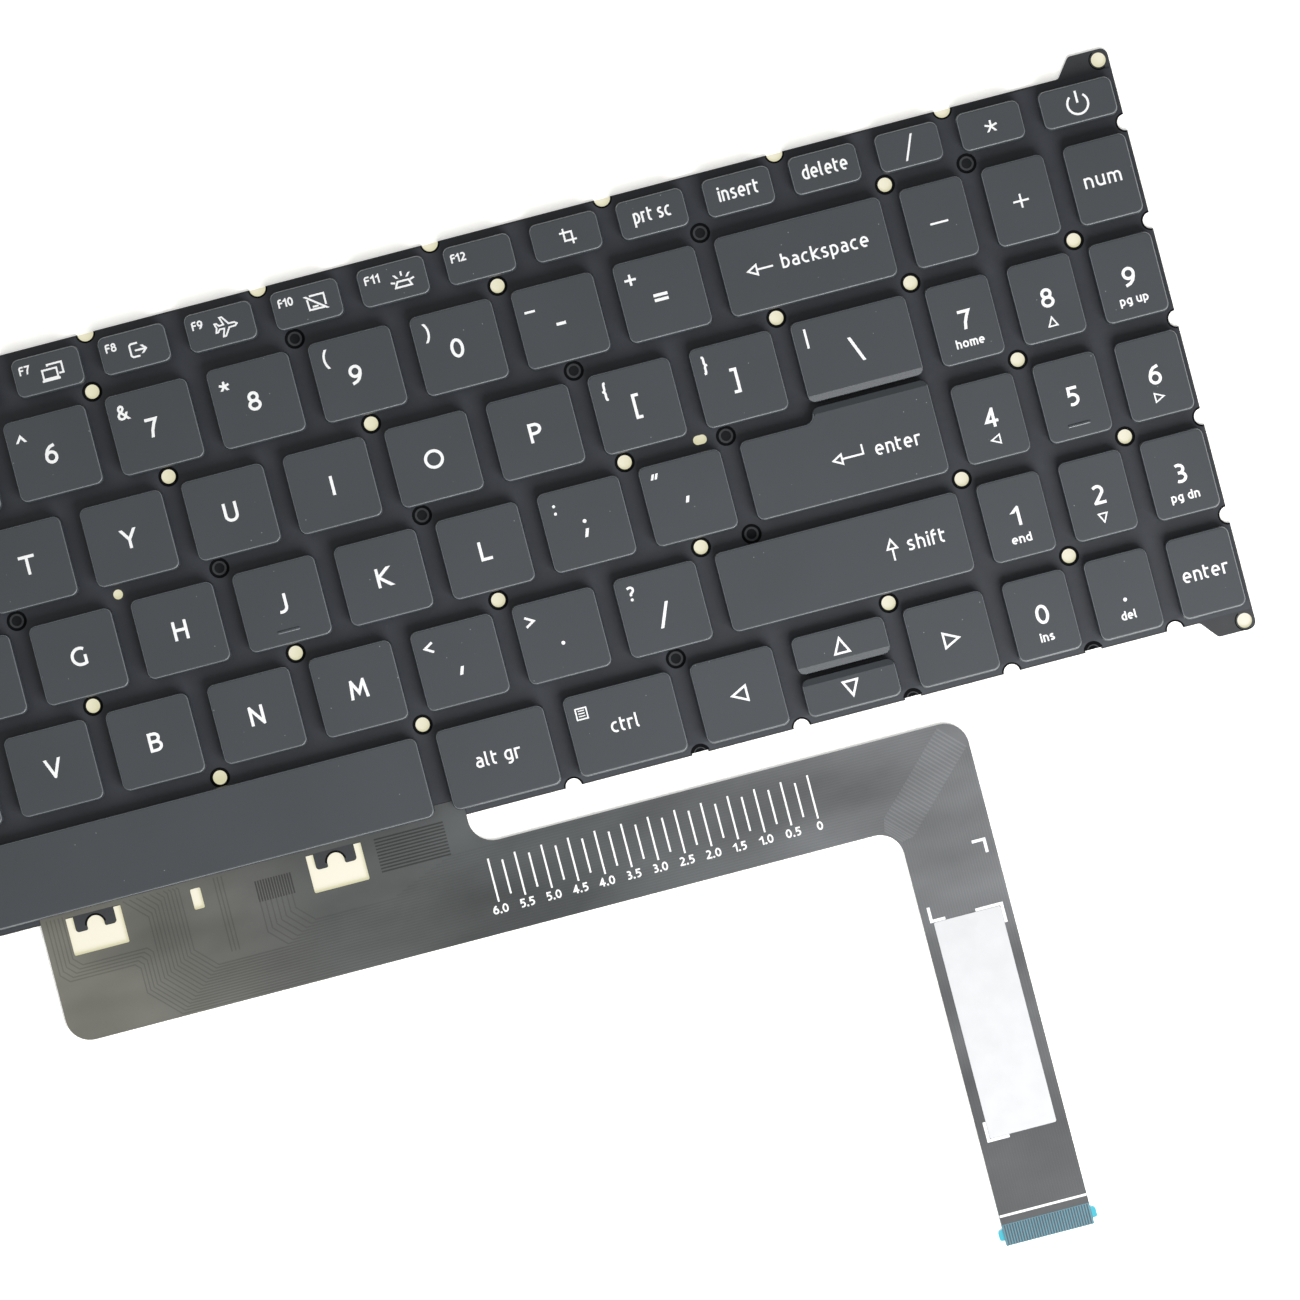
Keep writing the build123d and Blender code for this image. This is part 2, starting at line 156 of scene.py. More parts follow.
# Printing: capital heights of the legends and the thickness of the ink
LETTER = 3.55
SIGN = 2.75
WORD = 2.6
SMALL = 1.6
INK = 0.012
PEN_SHARE = 0.155
WORD_PEN_SHARE = 0.143
SMALL_PEN_SHARE = 0.185
SIGN_PEN = 0.36
LINE = 0.4
FINE_LINE = 0.34
THIN_LINE = 0.26

# Domes and links under the caps
DOME_RADIUS = 2.2
DOME_TOP_RADIUS = 1.1
SMALL_DOME_RADIUS = 1.3
SMALL_DOME_TOP_RADIUS = 0.7
LINK_BAR = 1.0
SMALL_LINK_BAR = 0.7
LINK_THICKNESS = 0.7
LINK_PLAY = 0.2
LINK_SIDE_PLAY = 0.3
LINK_END_PLAY = 1.0
SMALL_LINK_END_PLAY = 0.2
LINK_CORNER = 0.5


def node_box(node):
    """Lowest and highest corner of a node, in millimetres."""
    lowest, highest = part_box(node)
    return lowest / MM, highest / MM


PLATE_TOP = node_box("base_plate")[1].z
SHEET_TOP = node_box("membrane_sheet")[1].z
FILM_TOP = node_box("flex_tail")[1].z
CAP_BOTTOM = node_box("key_h")[0].z
CAP_TOP = node_box("key_h")[1].z - INK
CEILING = node_box("key_h")[1].z - CAP_ROOF


# Flat outlines


def circle(x, y, radius, steps=36):
    """Closed ring of points."""
    angles = [2 * pi * i / steps for i in range(steps)]
    return [Vector((x + radius * cos(a), y + radius * sin(a))) for a in angles]


def arc(x, y, radius, start, end):
    """Points along an arc, with its ends, from one angle to another in radians."""
    steps = max(1, ceil(abs(end - start) / ARC_STEP))
    angles = [start + (end - start) * i / steps for i in range(steps + 1)]
    return [Vector((x + radius * cos(a), y + radius * sin(a))) for a in angles]


def outline(corners, notches=(), notch_radius=0.0):
    """Counter-clockwise loop through (x, y, fillet) corners, with round notches where they cross it."""
    spots = [Vector((x, y)) for x, y, _ in corners]
    count = len(corners)
    bends = []
    for i, (_, _, fillet) in enumerate(corners):
        into = (spots[i] - spots[i - 1]).normalized()
        out = (spots[(i + 1) % count] - spots[i]).normalized()
        turn = atan2(into.x * out.y - into.y * out.x, into.dot(out))
        if fillet:
            side = 1 if turn > 0 else -1
            start = spots[i] - into * fillet * abs(sin(turn / 2) / cos(turn / 2))
            first = atan2(into.x, -into.y) if side < 0 else atan2(-into.x, into.y)
            centre = start - side * fillet * Vector((into.y, -into.x))
            bends.append(arc(centre.x, centre.y, fillet, first, first + turn))
        else:
            bends.append([spots[i]])
    loop = []
    for i, bend in enumerate(bends):
        loop += bend
        start = bend[-1]
        along = bends[(i + 1) % count][0] - start
        length = along.length
        along.normalize()
        inward = Vector((-along.y, along.x))
        cuts = []
        for notch in notches:
            reach = (notch - start).dot(along)
            depth = (notch - start).dot(inward)
            if -notch_radius < depth < 0.01 and 0 < reach < length:
                cuts.append((reach, min(depth, 0.0)))
        for reach, depth in sorted(cuts):
            half = sqrt(notch_radius**2 - depth**2)
            for spot in arc(0, 0, notch_radius, atan2(abs(depth), -half), atan2(abs(depth), half)):
                loop.append(start + along * (reach + spot.x) + inward * (depth + spot.y))
    return loop


def rectangle(low_x, low_y, high_x, high_y):
    """Corners of a rectangle, counter-clockwise."""
    corners = ((low_x, low_y), (high_x, low_y), (high_x, high_y), (low_x, high_y))
    return [Vector(corner) for corner in corners]


def box_about(x, y, width, depth):
    """Corners of a rectangle round a middle, counter-clockwise."""
    return rectangle(x - width / 2, y - depth / 2, x + width / 2, y + depth / 2)


def rounded(corners, fillet):
    """Loop through corners that all have the same fillet."""
    return outline([(corner.x, corner.y, fillet) for corner in corners])


def beside(points, offset):
    """Line that runs parallel to a run of points, on its left."""
    steps = [(after - before).normalized() for before, after in zip(points, points[1:])]
    normals = [Vector((-step.y, step.x)) for step in steps]
    mitres = [(one + two) / (1 + one.dot(two)) for one, two in zip(normals, normals[1:])]
    return [spot + mitre * offset for spot, mitre in zip(points, normals[:1] + mitres + normals[-1:])]


def ribbon(points, width):
    """Loop round an open stroke."""
    spots = [Vector(p) for p in points]
    return [beside(spots, width / 2) + beside(spots, -width / 2)[::-1]]


# Solids


def add_flat(bm, loops, bottom, top):
    """Add the solid between two levels that closed loops bound; inner loops are openings."""
    curve = bpy.data.curves.new("flat", "CURVE")
    curve.dimensions = "2D"
    curve.fill_mode = "BOTH"
    curve.extrude = (top - bottom) / 2
    for loop in loops:
        spline = curve.splines.new("POLY")
        spline.points.add(len(loop) - 1)
        for point, spot in zip(spline.points, loop):
            point.co = (spot.x, spot.y, 0, 1)
        spline.use_cyclic_u = True
    add_curve(bm, curve, Vector((0, 0, (bottom + top) / 2)))


def add_curve(bm, curve, shift):
    """Turn a curve into mesh, add it and drop the curve."""
    holder = bpy.data.objects.new("flat", curve)
    mesh = bpy.data.meshes.new_from_object(holder)
    mesh.transform(Matrix.Translation(shift))
    bm.from_mesh(mesh)
    bpy.data.meshes.remove(mesh)
    bpy.data.objects.remove(holder)
    bpy.data.curves.remove(curve)


# Pen strokes, joined into one flat shape and given the ink's thickness
DOT_SHARE = 0.66
DOT_STEPS = 14
SHARP_BEND = radians(50)
LONG_BEND = radians(150)
MITRE_BEND = radians(128)
STRAIGHT_BEND = radians(1)
STEEP = 0.6
SAME_SPOT = 0.001


def corner_join(before, here, after, half):
    """Polygon that fills the outside of a bend: pointed, or cut straight across where the bend is sharp."""
    into = (here - before).normalized()
    out = (after - here).normalized()
    bend = into.angle(out)
    if bend < STRAIGHT_BEND:
        return []
    side = -half if into.x * out.y > into.y * out.x else half
    first = side * Vector((-into.y, into.x))
    second = side * Vector((-out.y, out.x))
    outward = (into - out).normalized()
    reach = half if bend > MITRE_BEND else half / cos(bend / 2)
    along = (reach - first.dot(outward)) / into.dot(outward)
    tips = [here + first + along * into, here + second - along * out]
    polygon = [here, here + first, *tips, here + second]
    return polygon if side < 0 else polygon[::-1]


def end_cut(inner, end, half):
    """Polygon that carries a straight end on by half the pen and cuts it level where the stroke is steep."""
    out = end - inner
    if out.length < 2 * half:
        return []
    out.normalize()
    left = foot = half * Vector((-out.y, out.x))
    tip = end + half * out
    if abs(out.y) > STEEP:
        left = Vector((-half / out.y, 0))
        tip = end + out * half / abs(out.y)
    return [end - foot, tip - left, tip + left, end + foot]


def stroke(points, width=LINE):
    """Polygons of a pen stroke, which closes where it ends at its start. A single point is a dot."""
    spots = [Vector(points[0])]
    for point in points[1:]:
        if (Vector(point) - spots[-1]).length > SAME_SPOT:
            spots.append(Vector(point))
    if len(spots) == 1:
        return [circle(spots[0].x, spots[0].y, DOT_SHARE * width, DOT_STEPS)]
    half = width / 2
    if (spots[0] - spots[-1]).length < SAME_SPOT:
        polygons = [corner_join(spots[-2], spots[0], spots[1], half)]
    else:
        polygons = [end_cut(spots[1], spots[0], half), end_cut(spots[-2], spots[-1], half)]
    runs = [[spots[0]]]
    bent = 0.0
    for before, here, after in zip(spots, spots[1:], spots[2:]):
        runs[-1].append(here)
        bend = (here - before).angle(after - here)
        bent += bend
        if bend > SHARP_BEND or bent > LONG_BEND:
            polygons.append(corner_join(before, here, after, half))
            runs.append([here])
            bent = 0.0
    runs[-1].append(spots[-1])
    polygons += [beside(run, -half) + beside(run, half)[::-1] for run in runs]
    return [polygon for polygon in polygons if polygon]


def closed(points, width=LINE):
    """Polygons of a pen stroke that ends where it starts."""
    return stroke(list(points) + [points[0]], width)


def add_ink(bm, polygons, place, level):
    """Join polygons into one flat shape, move it to a place and add it as a thin solid."""
    spots = [spot for polygon in polygons for spot in polygon]
    ends = [0]
    for polygon in polygons:
        ends.append(ends[-1] + len(polygon))
    faces = [list(range(first, last)) for first, last in zip(ends, ends[1:])]
    places, _, corner_lists, _, _, owners = delaunay_2d_cdt(spots, [], faces, 0, 1e-5)
    kept = [corners for corners, owner in zip(corner_lists, owners) if owner]
    used = sorted({i for corners in kept for i in corners})
    moved = {i: places[i] + place for i in used}
    low = {i: bm.verts.new((*moved[i], level)) for i in used}
    high = {i: bm.verts.new((*moved[i], level + INK)) for i in used}
    sides = set()
    for corners in kept:
        bm.faces.new([high[i] for i in corners])
        bm.faces.new([low[i] for i in reversed(corners)])
        sides |= set(zip(corners, corners[1:] + corners[:1]))
    for a, b in sides:
        if (b, a) not in sides:
            bm.faces.new((low[a], low[b], high[b], high[a]))


# Letters: pen paths from the base line at 0 to the top of the capitals at 1
X_HEIGHT = 0.74
LETTER_GAP = 0.36
WORD_GAP = 0.42


def bow(x, y, rx, ry, start, end):
    """Points along part of an ellipse, with angles in degrees."""
    steps = max(2, ceil(abs(end - start) / 15))
    angles = [radians(start + (end - start) * i / steps) for i in range(steps + 1)]
    return [(x + rx * cos(a), y + ry * sin(a)) for a in angles]


def flipped(paths, width, height):
    """Paths turned half round inside a box."""
    return [[(width - x, height - y) for x, y in path] for path in paths]


def mirrored(paths, width):
    """Paths mirrored left to right inside a box."""
    return [[(width - x, y) for x, y in path] for path in paths]


STEM = [(0, 0), (0, 1)]
TALL_STEM = [(0, 0), (0, 1.05)]
SHORT_STEM = [(0, 0), (0, 0.72)]
ARCH = [(0, 0.64)] + bow(0.24, 0.44, 0.26, 0.3, 115, 0) + [(0.5, 0)]
BOWL = [(0, 0.68), (0.14, 0.74)] + bow(0.2, 0.37, 0.31, 0.37, 90, -90) + [(0.1, 0), (0, 0.03)]
SIX = [(0.5, 1), (0.3, 0.93), (0.14, 0.76), (0.04, 0.52)] + bow(0.3, 0.31, 0.29, 0.31, 180, 540)
UPPER_S = [(0.55, 0.93), (0.42, 0.99), (0.28, 1), (0.12, 0.94), (0.04, 0.8), (0.07, 0.66), (0.18, 0.57)]
UPPER_S += [(0.4, 0.47), (0.54, 0.36), (0.58, 0.22), (0.5, 0.07), (0.34, 0), (0.16, 0.01), (0, 0.08)]
BRACE = [(0.26, 1.12), (0.16, 1.1), (0.12, 1), (0.12, 0.62), (0.08, 0.5), (0, 0.46)]
BRACE += [(0.08, 0.42), (0.12, 0.3), (0.12, -0.08), (0.16, -0.18), (0.26, -0.2)]
AMPERSAND = [(0.7, 0), (0.14, 0.64), (0.1, 0.78), (0.16, 0.94), (0.3, 1), (0.42, 0.93), (0.44, 0.8)]
AMPERSAND += [(0.37, 0.67), (0.1, 0.44), (0.02, 0.26), (0.06, 0.1), (0.2, 0)]
AMPERSAND += [(0.38, 0.02), (0.54, 0.16), (0.63, 0.42)]
STAR_TURNS = [radians(turn) for turn in range(0, 360, 72)]
GLYPHS = {
    "A": [[(0, 0), (0.36, 1), (0.72, 0)], [(0.16, 0.32), (0.56, 0.32)]],
    "B": [
        STEM,
        [(0, 1), (0.25, 1)] + bow(0.27, 0.765, 0.24, 0.235, 90, -90) + [(0, 0.53)],
        [(0.2, 0.53)] + bow(0.28, 0.265, 0.29, 0.265, 90, -90) + [(0, 0)],
    ],
    "C": [bow(0.44, 0.5, 0.44, 0.5, 52, 308)],
    "D": [[(0, 0), (0, 1), (0.22, 1)] + bow(0.24, 0.5, 0.44, 0.5, 90, -90) + [(0, 0)]],
    "E": [[(0.5, 1), (0, 1), (0, 0), (0.52, 0)], [(0, 0.53), (0.44, 0.53)]],
    "F": [[(0.52, 1), (0, 1), (0, 0)], [(0, 0.51), (0.45, 0.51)]],
    "G": [bow(0.44, 0.5, 0.44, 0.5, 55, 270) + [(0.58, 0.01), (0.71, 0.06), (0.71, 0.47)]],
    "H": [STEM, [(0.64, 0), (0.64, 1)], [(0, 0.53), (0.64, 0.53)]],
    "I": [STEM],
    "J": [[(0.42, 1), (0.42, 0.28)] + bow(0.12, 0.28, 0.3, 0.28, 0, -112)],
    "K": [STEM, [(0.58, 1), (0.05, 0.54), (0.62, 0)]],
    "L": [[(0, 1), (0, 0), (0.48, 0)]],
    "M": [[(0, 0), (0.09, 1), (0.42, 0.27), (0.75, 1), (0.84, 0)]],
    "N": [[(0, 0), (0, 1), (0.64, 0), (0.64, 1)]],
    "O": [bow(0.46, 0.5, 0.46, 0.5, 0, 360)],
    "P": [[(0, 0), (0, 1), (0.24, 1)] + bow(0.26, 0.73, 0.29, 0.27, 90, -90) + [(0, 0.46)]],
    "Q": [bow(0.46, 0.5, 0.46, 0.5, 0, 360), [(0.5, -0.02), (0.72, -0.22)]],
    "R": [
        [(0, 0), (0, 1), (0.24, 1)] + bow(0.26, 0.74, 0.28, 0.26, 90, -90) + [(0, 0.48)],
        [(0.27, 0.48), (0.58, 0)],
    ],
    "S": [UPPER_S],
    "T": [[(0, 1), (0.72, 1)], [(0.36, 1), (0.36, 0)]],
    "U": [[(0, 1), (0, 0.32)] + bow(0.31, 0.32, 0.31, 0.32, 180, 360) + [(0.62, 1)]],
    "V": [[(0, 1), (0.36, 0), (0.72, 1)]],
    "W": [[(0, 1), (0.21, 0), (0.49, 0.74), (0.77, 0), (0.98, 1)]],
    "X": [[(0, 1), (0.64, 0)], [(0.64, 1), (0, 0)]],
    "Y": [[(0, 1), (0.33, 0.44), (0.66, 1)], [(0.33, 0.44), (0.33, 0)]],
    "Z": [[(0.02, 1), (0.6, 1), (0, 0), (0.62, 0)]],
    "a": [
        bow(0.2, 0.5, 0.26, 0.24, 122, 0) + [(0.46, 0.03)],
        [(0.46, 0.43), (0.28, 0.43)] + bow(0.22, 0.215, 0.22, 0.215, 95, 270) + [(0.46, 0.03)],
    ],
    "b": [[(0, 0.03), (0, 1.05)], BOWL],
    "c": [bow(0.33, 0.37, 0.33, 0.37, 62, 298)],
    "d": mirrored([[(0, 0.03), (0, 1.05)], BOWL], 0.51),
    "e": [[(0.02, 0.37)] + bow(0.28, 0.37, 0.28, 0.37, 0, 300)],
    "f": [[(0, 0), (0, 0.82)] + bow(0.24, 0.82, 0.24, 0.24, 180, 80), [(0, 0.72), (0.26, 0.72)]],
    # Small f of the function labels, with a low bar that still shows at their size
    "ƒ": [
        [(0, 0), (0, 0.78)] + bow(0.22, 0.78, 0.22, 0.22, 180, 90) + [(0.46, 1)],
        [(0, 0.53), (0.42, 0.53)],
    ],
    "g": [
        [(0.51, 0.72), (0.51, -0.04)] + bow(0.27, -0.04, 0.24, 0.24, 0, -125),
        [(0.51, 0.69), (0.36, 0.74)] + bow(0.3, 0.385, 0.3, 0.355, 90, 270) + [(0.51, 0.07)],
    ],
    "h": [TALL_STEM, ARCH],
    "i": [SHORT_STEM, [(0, 1.02)]],
    "k": [TALL_STEM, [(0.44, 0.73), (0.04, 0.38), (0.48, 0)]],
    "l": [[(0, 1.05), (0, 0.16)] + bow(0.15, 0.16, 0.15, 0.16, 180, 275)],
    "m": [
        SHORT_STEM,
        [(0, 0.66)] + bow(0.2, 0.46, 0.22, 0.28, 115, 0) + [(0.42, 0)],
        bow(0.62, 0.46, 0.22, 0.28, 150, 0) + [(0.84, 0)],
    ],
    "n": [SHORT_STEM, ARCH],
    "o": [bow(0.3, 0.37, 0.3, 0.37, 0, 360)],
    "p": [[(0, -0.29), (0, 0.7)], BOWL],
    "r": [SHORT_STEM, [(0, 0.66), (0.12, 0.73), (0.34, 0.73)]],
    "s": [[(0.76 * x, 0.74 * y) for x, y in UPPER_S]],
    "t": [[(0, 0.97), (0, 0.2)] + bow(0.2, 0.2, 0.2, 0.2, 180, 285), [(0, 0.72), (0.29, 0.72)]],
    "u": flipped([SHORT_STEM, ARCH], 0.5, 0.74),
    "0": [bow(0.3, 0.5, 0.3, 0.5, 0, 360)],
    "1": [[(0, 0.78), (0.26, 1), (0.26, 0)]],
    "2": [[(0.02, 0.9)] + bow(0.26, 0.72, 0.27, 0.28, 130, -25) + [(0.02, 0), (0.56, 0)]],
    "3": [
        bow(0.22, 0.765, 0.26, 0.235, 130, -75) + [(0.14, 0.53)],
        [(0.14, 0.53)] + bow(0.22, 0.265, 0.31, 0.265, 85, -128),
    ],
    "4": [[(0.43, 0), (0.43, 1), (0, 0.27), (0.6, 0.27)]],
    "5": [[(0.5, 1), (0.09, 1), (0.07, 0.58)] + bow(0.2, 0.305, 0.33, 0.31, 90, -118)],
    "6": [SIX],
    "7": [[(0, 1), (0.56, 1), (0.4, 0.7), (0.26, 0.34), (0.2, 0)]],
    "8": [bow(0.3, 0.76, 0.24, 0.24, 0, 360), bow(0.3, 0.265, 0.3, 0.265, 0, 360)],
    "9": flipped([SIX], 0.6, 1.0),
    "!": [[(0, 1), (0, 0.34)], [(0, 0.04)]],
    "@": [
        bow(0.48, 0.4, 0.48, 0.56, 305, 0) + bow(0.83, 0.36, 0.13, 0.2, 0, -180) + [(0.7, 0.62)],
        bow(0.49, 0.4, 0.21, 0.24, 0, 360),
    ],
    "#": [
        [(0.2, 0), (0.28, 1)],
        [(0.48, 0), (0.56, 1)],
        [(0, 0.33), (0.72, 0.33)],
        [(0.04, 0.67), (0.76, 0.67)],
    ],
    "$": [UPPER_S, [(0.3, 1.16), (0.3, -0.16)]],
    "%": [bow(0.18, 0.77, 0.18, 0.23, 0, 360), bow(0.78, 0.23, 0.18, 0.23, 0, 360), [(0.72, 1), (0.24, 0)]],
    "^": [[(0, 0.6), (0.26, 1), (0.52, 0.6)]],
    "&": [AMPERSAND],
    "*": [[(0.3, 0.7), (0.3 + 0.3 * sin(turn), 0.7 + 0.3 * cos(turn))] for turn in STAR_TURNS],
    "(": [bow(0.6, 0.44, 0.6, 0.9, 132, 228)],
    ")": [bow(-0.4, 0.44, 0.6, 0.9, 48, -48)],
    "-": [[(0, 0.4), (0.38, 0.4)]],
    "_": [[(0, 0), (0.62, 0)]],
    "=": [[(0, 0.56), (0.66, 0.56)], [(0, 0.26), (0.66, 0.26)]],
    "+": [[(0, 0.42), (0.7, 0.42)], [(0.35, 0.77), (0.35, 0.07)]],
    "[": [[(0.24, 1.16), (0, 1.16), (0, -0.2), (0.24, -0.2)]],
    "]": [[(0, 1.16), (0.24, 1.16), (0.24, -0.2), (0, -0.2)]],
    "{": [BRACE],
    "}": mirrored([BRACE], 0.26),
    "\\": [[(0, 1.16), (0.52, -0.2)]],
    "/": [[(0, -0.2), (0.52, 1.16)]],
    "|": [[(0, 1.16), (0, -0.2)]],
    ";": [[(0.08, 0.66)], [(0.1, 0.1), (0, -0.22)]],
    ":": [[(0, 0.05)], [(0, 0.64)]],
    "'": [[(0.06, 0.98), (0, 0.78)]],
    '"': [[(0.1, 1), (0, 0.74)], [(0.38, 1), (0.28, 0.74)]],
    ",": [[(0.1, 0.1), (0, -0.22)]],
    ".": [[(0, 0)]],
    "<": [[(0.54, 0.76), (0, 0.42), (0.54, 0.08)]],
    ">": [[(0, 0.76), (0.54, 0.42), (0, 0.08)]],
    "?": [[(0, 0.93)] + bow(0.2, 0.78, 0.23, 0.22, 110, -40) + [(0.2, 0.48), (0.2, 0.32)], [(0.2, 0.03)]],
    "`": [[(0, 1), (0.16, 0.78)]],
    "~": [[(0, 0.36), (0.1, 0.5), (0.22, 0.5), (0.42, 0.36), (0.54, 0.36), (0.64, 0.5)]],
}


LETTER_STRETCH = 1.12
SIGN_STRETCH = 1.05


def written(content, x, y, height, align="middle", width=0.0, pen=0.0):
    """Polygons of a text. Small letters are centred on y by their height, signs and numbers as a whole."""
    pen = pen or {SMALL: SMALL_PEN_SHARE, WORD: WORD_PEN_SHARE}.get(height, PEN_SHARE) * height
    scale = height - pen
    paths = []
    cursor = 0.0
    for letter in content:
        if letter == " ":
            cursor += WORD_GAP
            continue
        glyph = GLYPHS[letter]
        paths += [[(cursor + px, py) for px, py in path] for path in glyph]
        cursor += max(px for path in glyph for px, _ in path) + LETTER_GAP
    length = cursor - LETTER_GAP
    stretch = scale * (LETTER_STRETCH if content.isalpha() else SIGN_STRETCH)
    if width:
        stretch = (width - pen) / length
    levels = [py for path in paths for _, py in path]
    middle = (min(levels) + max(levels)) / 2
    if len(content) > 1 and content.islower():
        middle = X_HEIGHT / 2
    run = length * stretch
    start = x - {"left": -pen / 2, "middle": run / 2, "right": run + pen / 2}[align]
    polygons = []
    for path in paths:
        polygons += stroke([(start + px * stretch, y + (py - middle) * scale) for px, py in path], pen)
    return polygons


def skin(rings, rim=()):
    """Closed solid through rings with the same number of points. Rim bands take a second material."""
    bm = bmesh.new()
    loops = [[bm.verts.new(spot) for spot in ring] for ring in rings]
    count = len(loops[0])
    bm.faces.new(loops[0][::-1])
    for band, (lower, upper) in enumerate(zip(loops, loops[1:])):
        for i in range(count):
            j = (i + 1) % count
            face = bm.faces.new((lower[i], lower[j], upper[j], upper[i]))
            face.material_index = int(band in rim)
    bm.faces.new(loops[-1])
    return bm


def square_ring(corners, inset, radius, z):
    """Ring at a level round a square-cornered outline, moved inward, with its corners rounded."""
    ring = []
    count = len(corners)
    for i, here in enumerate(corners):
        into = (here - corners[i - 1]).normalized()
        out = (corners[(i + 1) % count] - here).normalized()
        side = into.x * out.y - into.y * out.x
        left = Vector((-into.y, into.x))
        corner = here + inset * (left + Vector((-out.y, out.x)))
        bend = max(radius - side * inset, LEAST_BEND)
        centre = corner - into * bend + left * side * bend
        for step in range(CORNER_STEPS + 1):
            angle = side * pi / 2 * step / CORNER_STEPS
            arm = -side * bend * left
            x = centre.x + arm.x * cos(angle) - arm.y * sin(angle)
            y = centre.y + arm.x * sin(angle) + arm.y * cos(angle)
            ring.append((x, y, z))
    return ring


def finish_mesh(bm, name, smooth_angle):
    """Clean a mesh, scale it to metres and shade it."""
    bmesh.ops.remove_doubles(bm, verts=bm.verts, dist=WELD)
    bmesh.ops.recalc_face_normals(bm, faces=bm.faces)
    bmesh.ops.scale(bm, vec=(MM, MM, MM), verts=bm.verts)
    mesh = bpy.data.meshes.new(name)
    bm.to_mesh(mesh)
    bm.free()
    mesh.polygons.foreach_set("use_smooth", [True] * len(mesh.polygons))
    mesh.set_sharp_from_angle(angle=smooth_angle)
    return mesh


def add_piece(name, bm, material, body, slot, *nodes, smooth=35):
    """Make a piece that rides on a body, takes a material and stands for the named nodes. Its slot is not
    used.
    """
    piece = bpy.data.objects.new(name, finish_mesh(bm, name, radians(smooth)))
    piece.data.materials.append(material)
    scene.collection.objects.link(piece)
    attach(piece, body)
    if nodes:
        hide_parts(*nodes)
    return piece


# Materials


def tint(red, green, blue):
    """Display colour of 0 to 255 as the linear colour that shaders take."""
    levels = [c / 255 for c in (red, green, blue)]
    return [c / 12.92 if c <= 0.04045 else ((c + 0.055) / 1.055) ** 2.4 for c in levels] + [1.0]


